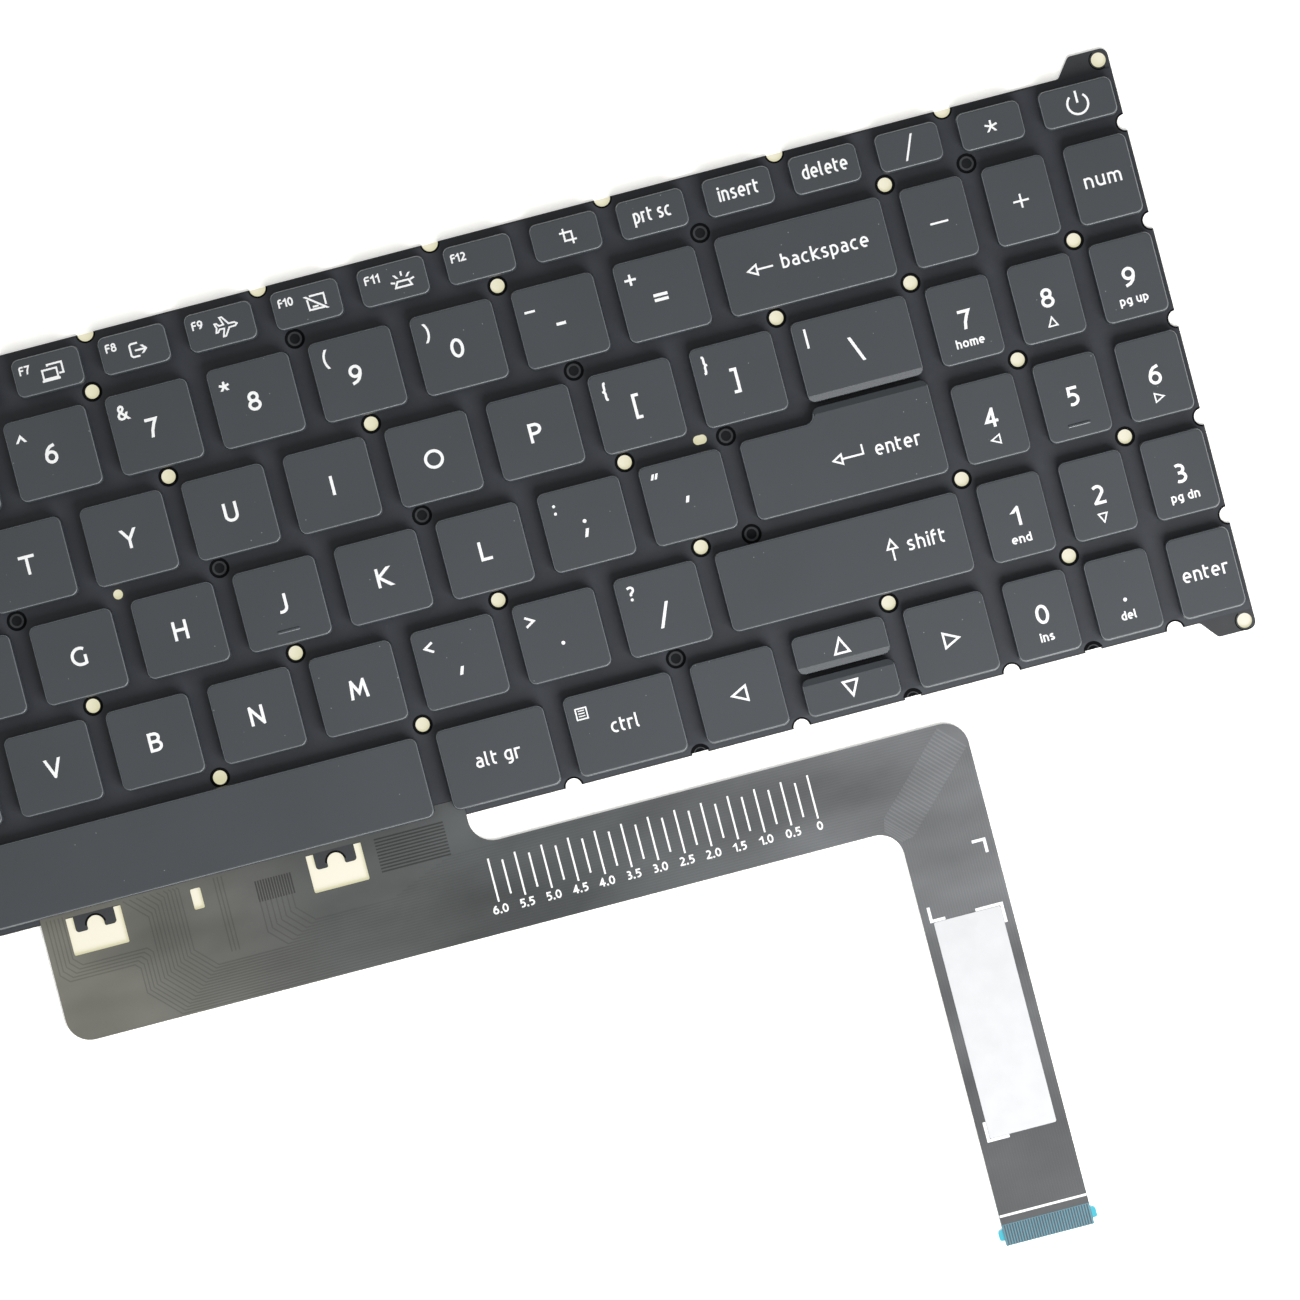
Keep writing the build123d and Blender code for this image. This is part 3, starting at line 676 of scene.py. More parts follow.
class Surface:
    """A shader with helpers that add its cloudy tone, grain and specks."""

    def __init__(self, name, roughness, specular=0.5):
        self.material = bpy.data.materials.new(name)
        self.material.use_nodes = True
        self.nodes = self.material.node_tree.nodes
        self.links = self.material.node_tree.links
        self.shader = self.nodes["Principled BSDF"]
        self.shader.inputs["Specular IOR Level"].default_value = specular
        self.roughness = roughness
        self.place = self.nodes.new("ShaderNodeTexCoord").outputs["Object"]

    def noise(self, scale, detail=3.0, stretch=None):
        """Noise in cycles to the metre, drawn out along an axis where asked."""
        node = self.nodes.new("ShaderNodeTexNoise")
        node.inputs["Scale"].default_value = scale
        node.inputs["Detail"].default_value = detail
        source = self.place
        if stretch:
            mapping = self.nodes.new("ShaderNodeMapping")
            mapping.inputs["Scale"].default_value = stretch
            self.links.new(source, mapping.inputs["Vector"])
            source = mapping.outputs["Vector"]
        self.links.new(source, node.inputs["Vector"])
        return node.outputs["Fac"]

    def span(self, axis, low, high):
        """Share of the way from one place to another along an axis, in metres."""
        split = self.nodes.new("ShaderNodeSeparateXYZ")
        self.links.new(self.place, split.inputs["Vector"])
        share = self.nodes.new("ShaderNodeMapRange")
        share.inputs["From Min"].default_value = low
        share.inputs["From Max"].default_value = high
        self.links.new(split.outputs[axis], share.inputs["Value"])
        return share.outputs["Result"]

    def ramp(self, factor, stops):
        """Colours along a factor, as (place, colour) stops."""
        node = self.nodes.new("ShaderNodeValToRGB")
        elements = node.color_ramp.elements
        for element, (spot, colour) in zip(elements, stops):
            element.position = spot
            element.color = colour
        for spot, colour in stops[2:]:
            elements.new(spot).color = colour
        self.links.new(factor, node.inputs["Fac"])
        return node.outputs["Color"]

    def clouds(self, colour, spread, scale):
        """Base colour that wavers a little over the surface."""
        low = [c * (1 - spread) for c in colour[:3]] + [1.0]
        high = [c * (1 + spread) for c in colour[:3]] + [1.0]
        return self.ramp(self.noise(scale), [(0.3, low), (0.7, high)])

    def blend(self, factor, first, second, mode="MIX"):
        """Two colours mixed by a factor."""
        node = self.nodes.new("ShaderNodeMix")
        node.data_type = "RGBA"
        node.blend_type = mode
        if isinstance(factor, float):
            node.inputs["Factor"].default_value = factor
        else:
            self.links.new(factor, node.inputs["Factor"])
        for socket, source in ((node.inputs[6], first), (node.inputs[7], second)):
            if isinstance(source, list):
                socket.default_value = source
            else:
                self.links.new(source, socket)
        return node.outputs[2]

    def specks(self, scale, size):
        """Mask with a few round specks of a size in millimetres."""
        cells = self.nodes.new("ShaderNodeTexVoronoi")
        cells.inputs["Scale"].default_value = scale
        self.links.new(self.place, cells.inputs["Vector"])
        mask = self.nodes.new("ShaderNodeMath")
        mask.operation = "LESS_THAN"
        mask.inputs[1].default_value = size * MM * scale
        self.links.new(cells.outputs["Distance"], mask.inputs[0])
        return mask.outputs["Value"]

    def grain(self, scale, depth, spread=0.06, stretch=None):
        """Fine relief, with a depth in millimetres, that also varies the gloss."""
        noise = self.noise(scale, 2.0, stretch)
        bump = self.nodes.new("ShaderNodeBump")
        bump.inputs["Strength"].default_value = 0.6
        bump.inputs["Distance"].default_value = depth * MM
        self.links.new(noise, bump.inputs["Height"])
        self.links.new(bump.outputs["Normal"], self.shader.inputs["Normal"])
        gloss = self.nodes.new("ShaderNodeMapRange")
        gloss.inputs["To Min"].default_value = self.roughness - spread
        gloss.inputs["To Max"].default_value = self.roughness + spread
        self.links.new(noise, gloss.inputs["Value"])
        self.links.new(gloss.outputs["Result"], self.shader.inputs["Roughness"])

    def shine(self, colour, strength):
        """Let the surface give off some light of its own."""
        self.shader.inputs["Emission Color"].default_value = colour
        self.shader.inputs["Emission Strength"].default_value = strength

    def paint(self, colour):
        """Give the shader its colour and return the material."""
        self.links.new(colour, self.shader.inputs["Base Color"])
        return self.material


def key_plastic():
    """Dark grey moulded caps with a fine matt grain and a little dust."""
    surface = Surface("key_plastic", 0.5, 0.45)
    surface.grain(5200, 0.02)
    clean = surface.clouds(tint(54, 58, 62), 0.05, 45)
    return surface.paint(surface.blend(surface.specks(330, 0.1), clean, tint(120, 122, 124)))


def plain(name, colour, roughness, specular, grain, clouds):
    """Material with the scale and relief of its grain and the spread and scale of its clouds."""
    surface = Surface(name, roughness, specular)
    surface.grain(*grain)
    return surface.paint(surface.clouds(colour, *clouds))


def printed_sheet():
    """Black printed polyester, smoother than the caps, with a paler margin at the front, painted as light
    where no key shades it.
    """
    surface = Surface("printed_sheet", 0.46, 0.5)
    surface.grain(900, 0.03)
    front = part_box("membrane_sheet")[0].y
    # Paler front margin: painted light where the keys cast no shade on the sheet
    inside = surface.span("Y", front + 1.3 * MM, front + 1.7 * MM)
    dark = surface.clouds(tint(35, 39, 46), 0.1, 90)
    return surface.paint(surface.blend(inside, tint(52, 56, 61), dark))


def smoky_film(name, shades):
    """Tinted polyester with (place, share) shades, paler at the left as painted floor light showing through
    it, darker down the arm as painted shade, with streaks of painted sheen.
    """
    surface = Surface(name, 0.38, 0.3)
    surface.grain(420, 0.05, 0.08)
    lowest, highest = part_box("flex_tail")
    across = surface.span("X", lowest.x, highest.x)
    down = surface.span("Y", lowest.y, highest.y)
    # Tone along the film; the paler left end is painted floor light showing through the film
    length = surface.ramp(
        across,
        [
            (0.0, tint(110, 109, 101)),
            (1.0, tint(107, 109, 111)),
            (0.3, tint(80, 82, 81)),
            (0.55, tint(71, 74, 75)),
            (0.88, tint(98, 100, 102)),
        ],
    )
    # Streaks painted as the reflections and shade of the film's waves
    sheen_streaks = surface.ramp(
        surface.noise(28, 2.0, (1.0, 2.6, 1.0)),
        [(0.3, [0.66] * 3 + [1.0]), (0.72, [1.2] * 3 + [1.0])],
    )
    plain = surface.blend(1.0, length, sheen_streaks, "MULTIPLY")
    # Darker down the arm: painted shade against the key light, which is strongest there
    arm_shade = surface.ramp(down, [(0.0, [0.32] * 3 + [1.0]), (0.75, [1.0] * 4)])
    plain = surface.blend(1.0, plain, arm_shade, "MULTIPLY")
    strength = surface.ramp(across, [(place, [share] * 3 + [1.0]) for place, share in shades])
    return surface.paint(surface.blend(1.0, plain, strength, "MULTIPLY"))


def glowing_cream_paper():
    """Cream paper under the board that shows through its holes and glows with painted cream light of its
    own.
    """
    surface = Surface("glowing_cream_paper", 0.8, 0.2)
    surface.grain(900, 0.02)
    surface.shine((0.61, 0.59, 0.35, 1.0), 1.0)
    return surface.paint(surface.clouds([0.27, 0.25, 0.31, 1.0], 0.02, 60))


def studio_floor():
    """Pale paper, lit until it reads as white."""
    surface = Surface("studio_floor", 0.8, 0.2)
    surface.grain(300, 0.02)
    surface.shine((1.0, 1.0, 1.0, 1.0), 0.35)
    return surface.paint(surface.clouds(tint(250, 249, 242), 0.01, 3))


MATT_GRAIN = (2600, 0.01)
TEAL_GRAIN = (1800, 0.015)
PAPER_GRAIN = (2400, 0.02, 0.05, (1.0, 0.35, 1.0))
KEY_PLASTIC = key_plastic()
# Painted highlight: a lighter band on the caps' rounded edges and on the front of the homing bars
KEY_EDGE_HIGHLIGHT = plain("key_edge_highlight", tint(104, 108, 112), 0.34, 0.6, (5200, 0.01), (0.1, 60))
PLATE_PAINT = plain("plate_paint", tint(44, 47, 50), 0.42, 0.5, (2600, 0.015), (0.12, 120))
# Painted shade at the hole walls round the holes, stakes and notches
COLLAR_SHADE = plain("collar_shade", tint(16, 17, 19), 0.8, 0.05, MATT_GRAIN, (0.2, 200))
# Painted shade in the hollows of the blind stakes
STAKE_SHADE = plain("stake_shade", tint(31, 33, 35), 0.8, 0.05, MATT_GRAIN, (0.2, 200))
PRINTED_SHEET = printed_sheet()
CONTACT_PRINT = plain("contact_print", tint(40, 53, 60), 0.4, 0.5, (3000, 0.01), (0.15, 400))
TEAL_STRIP = plain("teal_strip", tint(14, 148, 166), 0.4, 0.5, TEAL_GRAIN, (0.08, 220))
CONTACT_GROUND = plain("contact_ground", tint(58, 112, 128), 0.4, 0.5, TEAL_GRAIN, (0.08, 220))
LABEL_PAPER = plain("label_paper", tint(190, 191, 193), 0.62, 0.3, PAPER_GRAIN, (0.03, 300))
WHITE_INK = plain("white_ink", tint(226, 227, 227), 0.5, 0.35, (4000, 0.008), (0.03, 500))
DOME_RUBBER = plain("dome_rubber", tint(196, 198, 196), 0.45, 0.45, (1800, 0.02), (0.06, 300))
LINK_PLASTIC = plain("link_plastic", tint(40, 42, 44), 0.4, 0.5, (2500, 0.015), (0.1, 300))

# Keys: the moving ones are nodes; the fixed bank is told apart by its separate solids
FIXED_ROWS = [
    ["key_left_ctrl", "key_fn", "key_system", "key_left_alt"],
    ["key_left_shift"] + [f"key_{letter}" for letter in "zxcv"],
    ["key_caps"] + [f"key_{letter}" for letter in "asdfg"],
    ["key_tab"] + [f"key_{letter}" for letter in "qwert"],
    ["key_backtick"] + [f"key_{digit}" for digit in "123456"],
    ["key_esc"]
    + [f"key_f{number}" for number in range(1, 13)]
    + ["key_snip", "key_print", "key_insert", "key_delete", "pad_divide", "pad_times", "key_power"],
]


def solid_boxes(node):
    """Boxes of a node's separate solids, in millimetres."""
    bm = bmesh.new()
    bm.from_mesh(frame["nodes"][node].data)
    bmesh.ops.remove_doubles(bm, verts=bm.verts, dist=1e-6)
    seen = set()
    boxes = []
    for seed in bm.verts:
        if seed in seen:
            continue
        seen.add(seed)
        waiting = [seed]
        spots = []
        while waiting:
            vert = waiting.pop()
            spots.append(vert.co / MM)
            for edge in vert.link_edges:
                other = edge.other_vert(vert)
                if other not in seen:
                    seen.add(other)
                    waiting.append(other)
        boxes.append([Vector([pick(s[i] for s in spots) for i in range(3)]) for pick in (min, max)])
    bm.free()
    return boxes


moving_names = [body for body in frame["bodies"] if body in frame["nodes"]]
key_boxes = {name: node_box(name) for name in moving_names}
bank = sorted(solid_boxes("fixed_keys"), key=lambda box: (round(box[0].y), box[0].x))
for name, box in zip([name for row in FIXED_ROWS for name in row], bank):
    key_boxes[name] = box
KEY_DEPTH = key_boxes["key_h"][1].y - key_boxes["key_h"][0].y

PAIRED_EDGES = {"key_backslash": -1, "key_enter": 1, "arrow_up": -1, "arrow_down": 1}


def cap_corners(name):
    """Corners of a cap's skirt, counter-clockwise. The enter key has a step behind it at its right."""
    lowest, highest = key_boxes[name]
    corners = [(lowest.x, lowest.y), (highest.x, lowest.y), (highest.x, highest.y)]
    if name == "key_enter":
        neighbour = key_boxes["key_backslash"]
        step_x = highest.x - (neighbour[1].x - neighbour[0].x)
        step_y = key_boxes["key_quote"][1].y
        corners += [(step_x, highest.y), (step_x, step_y), (lowest.x, step_y)]
    else:
        corners.append((lowest.x, highest.y))
    return [Vector(corner) for corner in corners]


def cap_solid(name):
    """One cap with a rounded top edge: hollow where it moves, on its post where it is fixed. Two bands of
    the edge take the second material, a painted highlight.
    """
    corners = cap_corners(name)
    if name in moving_names:
        rings = [square_ring(corners, CAP_WALL, CORNER_RADIUS, z) for z in (CEILING, CAP_BOTTOM)]
    else:
        lowest, highest = key_boxes[name]
        middle = (lowest + highest).to_2d() / 2
        post = box_about(middle.x, middle.y, POST_SIZE, POST_SIZE)
        rings = [square_ring(post, 0, POST_CORNER, z) for z in (SHEET_TOP, CAP_BOTTOM)]
    rings.append(square_ring(corners, 0, CORNER_RADIUS, CAP_BOTTOM))
    edge_start = len(rings)
    for step in range(EDGE_STEPS + 1):
        angle = pi / 2 * step / EDGE_STEPS
        inset = CAP_INSET + EDGE_RADIUS * (1 - cos(angle))
        rings.append(square_ring(corners, inset, CORNER_RADIUS, CAP_TOP - EDGE_RADIUS * (1 - sin(angle))))
    rings.append(square_ring(corners, CAP_INSET + EDGE_RADIUS + TOP_BAND, CORNER_RADIUS, CAP_TOP))
    bm = skin(rings, (edge_start + 1, edge_start + 2))
    bmesh.ops.connect_verts_concave(bm, faces=bm.faces)
    if name in PAIRED_EDGES:
        side = PAIRED_EDGES[name]
        edge = key_boxes[name][1 if side > 0 else 0].y - side * CAP_INSET
        parts = bm.verts[:] + bm.edges[:] + bm.faces[:]
        cut = bmesh.ops.bisect_plane(
            bm,
            geom=parts,
            plane_co=(0, edge - side * PAIR_BEVEL, CAP_TOP),
            plane_no=(0, side * PAIR_DROP, PAIR_BEVEL),
            clear_outer=True,
        )
        rim = [part for part in cut["geom_cut"] if isinstance(part, bmesh.types.BMEdge)]
        bmesh.ops.edgenet_fill(bm, edges=rim)
    return bm


def homing_bar(name):
    """Low rounded bar near the front of a cap, which the finger finds. Its sides that face the front take
    the second material, a painted highlight.
    """
    lowest, highest = key_boxes[name]
    x = (lowest.x + highest.x) / 2
    y = (lowest.y + highest.y) / 2 - HOMING_SETBACK
    corners = box_about(x, y, HOMING_LENGTH, HOMING_WIDTH)
    rise = highest.z - CAP_TOP
    rings = []
    for inset, share in HOMING_PROFILE:
        rings.append(square_ring(corners, inset, HOMING_CORNER, CAP_TOP + share * rise))
    bm = skin(rings)
    bm.normal_update()
    # Faces turned to the front, towards the key light, take the painted highlight
    for face in bm.faces:
        face.material_index = int(face.normal.y < -LIT_SLOPE)
    return bm


# Legends


class Mark(NamedTuple):
    """A text on a key, placed from the key's middle. A width draws it out to fit, a pen sets its strokes."""

    text: str
    x: float = 0.0
    y: float = 0.0
    height: float = LETTER
    align: str = "middle"
    width: float = 0.0
    pen: float = 0.0


SIGN_X = -5.0
SIGN_Y = 3.95
PAD_NOTE_Y = -4.15
PAD_NOTES = {"0": ("ins", 2.6), "1": ("end", 3.7), "3": ("pg dn", 5.3)}
PAD_NOTES |= {"7": ("home", 5.3), "9": ("pg up", 5.3)}


def shifted(main, sign, x=0.0, y=0.0):
    """A main sign with the shifted one at the upper left."""
    return [Mark(main, x, y), Mark(sign, SIGN_X, SIGN_Y, SIGN)]


def word(text, width, x=0.0, align="middle"):
    """A word on a long key."""
    return Mark(text, x, 0.0, WORD, align, width)


legends = {f"key_{letter}": [Mark(letter.upper())] for letter in "abcdefghijklmnopqrstuvwxyz"}
for digit, sign in zip("1234567890", "!@#$%^&*()"):
    legends[f"key_{digit}"] = shifted(digit, sign, -0.35)
for number in range(1, 13):
    label_width = 2.05 if number < 10 else 2.8
    legends[f"key_f{number}"] = [Mark(f"ƒ{number}", -5.1, 1.12, SMALL, "left", label_width)]
legends |= {
    "key_backtick": shifted("`", "~"),
    "key_minus": [Mark("-", 0, -0.45), Mark("_", -5.05, 2.95, SIGN)],
    "key_equals": shifted("=", "+", -0.3, -0.35),
    "key_left_bracket": shifted("[", "{"),
    "key_right_bracket": [Mark("]", -0.6), Mark("}", -5.4, 4.0, SIGN)],
    "key_backslash": [Mark("\\"), Mark("|", -8.4, 4.0, SIGN)],
    "key_semicolon": [Mark(";", -0.3, -0.65), Mark(":", -5.0, 3.9, SIGN)],
    "key_quote": [Mark("'", -0.15, -0.2), Mark('"', -5.0, 5.2, SIGN)],
    "key_comma": [Mark(",", 0, -1.5), Mark("<", -4.9, 3.9, SIGN)],
    "key_period": [Mark(".", 0, -1.3), Mark(">", -4.9, 3.9, SIGN)],
    "key_slash": [Mark("/", 0, -1.0), Mark("?", -4.95, 4.2, SIGN)],
    "key_backspace": [word("backspace", 16.3, 11.8, "right")],
    "key_enter": [Mark("enter", 14.25, -1.55, WORD, "right", 8.5)],
    "key_right_shift": [word("shift", 7.1, 18.85, "right")],
    "key_left_shift": [word("shift", 7.1, 1.6)],
    "key_caps": [word("caps lock", 14.2, -12.6, "left")],
    "key_tab": [word("tab", 4.9, -10.3, "left")],
    "key_left_ctrl": [word("ctrl", 5.3)],
    "key_right_ctrl": [word("ctrl", 5.3)],
    "key_fn": [word("fn", 3.1)],
    "key_left_alt": [word("alt", 4.1)],
    "key_alt_gr": [word("alt gr", 8.4)],
    "key_esc": [word("esc", 5.2)],
    "key_print": [word("prt sc", 7.0)],
    "key_insert": [word("insert", 7.5)],
    "key_delete": [word("delete", 8.5)],
    "pad_divide": [Mark("/", pen=SIGN_PEN)],
    "pad_times": [Mark("*", pen=SIGN_PEN)],
    "pad_plus": [Mark("+", width=2.9, pen=SIGN_PEN)],
    "pad_lock": [word("num", 6.9)],
    "pad_point": [Mark(".", 0, -1.0), Mark("del", 0, -4.05, SMALL, "middle", 2.9)],
    "pad_enter": [word("enter", 8.5)],
}
for digit in "0123456789":
    legends[f"pad_{digit}"] = [Mark(digit, 0.1, 0.2)]
for digit, (note, width) in PAD_NOTES.items():
    legends[f"pad_{digit}"].append(Mark(note, 0, PAD_NOTE_Y, SMALL, "middle", width))


def turned(points, angle, x=0.0, y=0.0):
    """Points turned about the origin, in degrees, and then moved."""
    c, s = cos(radians(angle)), sin(radians(angle))
    return [Vector((x + px * c - py * s, y + px * s + py * c)) for px, py in points]


def pointer(angle, size, x=0.0, y=0.0, width=LINE):
    """Hollow triangle that points to the right when its angle is 0."""
    half = size / 2
    return closed(turned([(-half, -half), (half, 0), (-half, half)], angle, x, y), width)


def arrow(angle, length, head, x, y):
    """Hollow head on a plain shaft, with its tip at a place."""
    tip = turned([(-head, -0.55 * head), (0, 0), (-head, 0.55 * head)], angle, x, y)
    return closed(tip, FINE_LINE) + stroke(turned([(-length, 0), (-head, 0)], angle, x, y), FINE_LINE)


def screens():
    """Screen on its foot in front of a second one."""
    front = closed([(-1.0, -1.27), (1.66, -1.27), (1.66, 0.42), (-1.0, 0.42)], FINE_LINE)
    rear = stroke([(0.12, 0.95), (0.12, 1.27), (2.78, 1.27), (2.78, -0.68), (2.15, -0.68)], FINE_LINE)
    return front + rear + stroke([(-1.15, -1.53), (1.83, -1.53)])


def leaving():
    """Arrow out of a bracket."""
    bracket = [(0.65, 1.05), (-0.45, 1.05), (-0.75, 0.75), (-0.75, -1.05), (-0.45, -1.37), (0.65, -1.37)]
    head = stroke([(1.55, 0.35), (2.17, -0.26), (1.55, -0.87)], FINE_LINE)
    return stroke(bracket, FINE_LINE) + stroke([(0.25, -0.26), (1.95, -0.26)], FINE_LINE) + head


def aeroplane():
    """Plain aeroplane seen from above, nose to the right."""
    half = [(2.1, 0.0), (1.7, 0.32), (0.6, 0.36), (-0.35, 1.75), (-0.8, 1.75), (-0.35, 0.36)]
    half += [(-1.2, 0.32), (-1.6, 0.8), (-1.95, 0.8), (-1.7, 0.0)]
    other = [(px, -py) for px, py in half[-2:0:-1]]
    return closed(turned(half + other, 0, 0.95, -0.1), 0.3)


def crossed_pad():
    """Touch pad with a stroke across it."""
    polygons = stroke([(0.05, 1.2), (3.4, -1.36)], FINE_LINE)
    for line in (
        [(0.9, 1.28), (3.4, 1.28), (3.4, -0.65)],
        [(0.2, 0.55), (0.3, -1.2), (2.95, -1.24)],
        [(1.1, -0.73), (1.85, -0.73)],
    ):
        polygons += stroke(line, FINE_LINE)
    return polygons


def glow():
    """Key with rays above it."""
    polygons = closed([(0.2, -1.28), (3.2, -1.28), (2.8, -0.25), (0.72, -0.25)], FINE_LINE)
    for angle in (18, 51, 90, 128, 166):
        polygons += stroke(turned([(1.6, 0), (2.1, 0)], angle, 1.7, -0.75), FINE_LINE)
    return polygons


def crop():
    """Two corner strokes that cross."""
    first = stroke([(-0.3, 1.35), (-0.3, -0.75), (1.7, -0.75)], FINE_LINE)
    return first + stroke([(-0.9, 0.75), (1.15, 0.75), (1.15, -1.35)], FINE_LINE)


def power():
    """Open ring with a bar at its top."""
    return stroke(arc(0, -0.1, 1.9, radians(130), radians(410))) + stroke([(0, 0.3), (0, 2.1)])


def menu():
    """Small list in a box."""
    x, y = -7.2, 3.85
    polygons = closed(box_about(x, y, 2.0, 2.0), THIN_LINE)
    for rise in (-0.45, 0.05, 0.55):
        polygons += stroke([(x - 0.5, y + rise), (x + 0.5, y + rise)], 0.2)
    return polygons


enter_hook = stroke([(3.3, -1.55), (3.5, -1.55), (3.5, 0.05)], FINE_LINE)
pictures = {
    "key_f7": screens(),
    "key_f8": leaving(),
    "key_f9": aeroplane(),
    "key_f10": crossed_pad(),
    "key_f11": glow(),
    "key_snip": crop(),
    "key_power": power(),
    "key_right_ctrl": menu(),
    "pad_minus": stroke([(-1.5, -0.05), (1.5, -0.05)], SIGN_PEN),
    "key_backspace": arrow(180, 4.5, 1.65, -10.8, 0),
    "key_right_shift": arrow(90, 3.7, 1.65, 9.0, 1.8),
    "key_left_shift": arrow(90, 3.7, 1.65, -4.6, 1.8),
    "key_enter": arrow(180, 5.6, 1.6, -2.1, -1.55) + enter_hook,
    "arrow_left": pointer(180, 2.7),
    "arrow_up": pointer(90, 2.7),
    "arrow_down": pointer(270, 2.7),
    "arrow_right": pointer(0, 2.7),
    "pad_8": pointer(90, 1.6, 0, -4.2, THIN_LINE),
    "pad_4": pointer(180, 1.6, 0, -3.9, THIN_LINE),
    "pad_6": pointer(0, 1.6, 0, -3.9, THIN_LINE),
    "pad_2": pointer(270, 1.6, 0, -4.1, THIN_LINE),
}


def legend_solid(name):
    """Everything printed on one key, or nothing."""
    lowest, highest = key_boxes[name]
    polygons = list(pictures.get(name, []))
    for mark in legends.get(name, []):
        polygons += written(*mark)
    bm = bmesh.new()
    if polygons:
        add_ink(bm, polygons, (lowest + highest).to_2d() / 2, CAP_TOP)
    return bm


for name in key_boxes:
    body = name if name in moving_names else "board"
    node = name if name in moving_names else "fixed_keys"
    cap = add_piece(f"{name}_cap", cap_solid(name), KEY_PLASTIC, body, "key_plastic", node, smooth=24)
    # Second material: painted highlight on the cap's rounded top edge
    cap.data.materials.append(KEY_EDGE_HIGHLIGHT)
    ink = legend_solid(name)
    if ink.verts:
        add_piece(f"{name}_legend", ink, WHITE_INK, body, "key_plastic")
    else:
        ink.free()
    if name in HOMING_KEYS:
        bar = add_piece(f"{name}_homing_bar", homing_bar(name), KEY_PLASTIC, body, "key_plastic", node)
        # Second material: painted highlight on the bar's front
        bar.data.materials.append(KEY_EDGE_HIGHLIGHT)

# Stake holes and notches, in the gaps between the rows


def row_ends(row_names):
    """Lines between the keys of a row: the middle of each gap."""
    boxes = sorted((key_boxes[name] for name in row_names), key=lambda box: box[0].x)
    return [(left[1].x + right[0].x) / 2 for left, right in zip(boxes, boxes[1:])]


sheet_low, sheet_high = node_box("membrane_sheet")
PLATE_FRONT = sheet_low.y - SHEET_INSET
PLATE_REAR = sheet_high.y + SHEET_INSET
PLATE_SIDE = node_box("base_plate")[1].x
KEY_GAP = key_boxes["key_j"][0].x - key_boxes["key_h"][1].x
ROW_PITCH = KEY_DEPTH + KEY_GAP
row_names = [[] for _ in range(MAIN_ROWS)]
for name, (lowest, highest) in key_boxes.items():
    row = int((lowest.y - PLATE_FRONT) // ROW_PITCH)
    if row < MAIN_ROWS and name not in ("arrow_down", "arrow_up"):
        row_names[row].append(name)
row_names[0].append("arrow_up")
main_lines = [row_ends(names) for names in row_names]
function_lines = row_ends(FIXED_ROWS[5])
gap_levels = [key_boxes["key_space"][1].y + KEY_GAP / 2 + row * ROW_PITCH for row in range(MAIN_ROWS)]


def stakes(row, ends):
    """Places behind a row, at the ends of its keys counted from the left."""
    return [Vector((main_lines[row][end - 1], gap_levels[row])) for end in ends]


through_stakes = stakes(4, (3, 7, 11)) + stakes(3, (1, 3, 5, 7, 9, 13)) + stakes(2, (11,))
through_stakes += stakes(1, (1, 3, 5, 7, 9, 11)) + stakes(0, (5, 9))
through_stakes += [Vector((main_lines[1][end - 1], gap_levels[0])) for end in (2, 6)]
covered_stake = Vector((main_lines[1][3], gap_levels[0]))
blind_stakes = stakes(4, (1, 5, 9, 13)) + stakes(3, (11,)) + stakes(2, (1, 3, 5, 7, 9, 12))
blind_stakes += stakes(0, (7,)) + [Vector((main_lines[2][11], gap_levels[1]))]
pad_lines = main_lines[0][-3:]
for row, column in ((0, 1), (1, 0), (1, 2), (2, 1), (3, 0), (3, 2), (4, 0)):
    through_stakes.append(Vector((pad_lines[column], gap_levels[row])))
blind_stakes.append(Vector((pad_lines[1], gap_levels[4])))
edge_notches = [Vector((function_lines[end - 1], PLATE_REAR)) for end in range(2, 19, 2)]
edge_notches += [Vector((side * PLATE_SIDE, level)) for side in (-1, 1) for level in gap_levels]
edge_notches += [Vector((main_lines[0][end - 1], PLATE_FRONT)) for end in (2, 4, 6, 8, 10, 12)]
blind_notches = [Vector((main_lines[0][end - 1], PLATE_FRONT)) for end in (1, 3, 7, 9, 11)]
pin = Vector((main_lines[2][5], gap_levels[2]))
slot = Vector((main_lines[3][11], gap_levels[2] + SLOT_SHIFT))


# Plate


def tab_corners(x):
    """Corners of a locating tab with its round notch, from left to right."""
    half = TAB_WIDTH / 2
    end = PLATE_FRONT - TAB_REACH
    notch = TAB_NOTCH_RADIUS
    left = [(-half, PLATE_FRONT, 0), (-half, end, TAB_CORNER)]
    left += [(-notch, end, TAB_NOTCH_LIP), (-notch, end + TAB_NOTCH_DEPTH, TAB_NOTCH_FILLET)]
    right = [(-dx, y, fillet) for dx, y, fillet in reversed(left)]
    return [(x + dx, y, fillet) for dx, y, fillet in left + right]


def step_corners(x, half, end, fillet):
    """Corners of a square step in the plate's front edge, from left to right."""
    left = [(x - half, PLATE_FRONT, 0), (x - half, end, fillet)]
    return left + [(2 * x - spot, y, bend) for spot, y, bend in left[::-1]]


def ear_corners(end, edge):
    """Corners of the right ear at one edge, from the plate's side inward."""
    inner = PLATE_SIDE - EAR_WIDTH
    return [(PLATE_SIDE, end, EAR_CORNER), (inner, end, EAR_BEND), (inner - EAR_SLOPE, edge, EAR_BEND)]


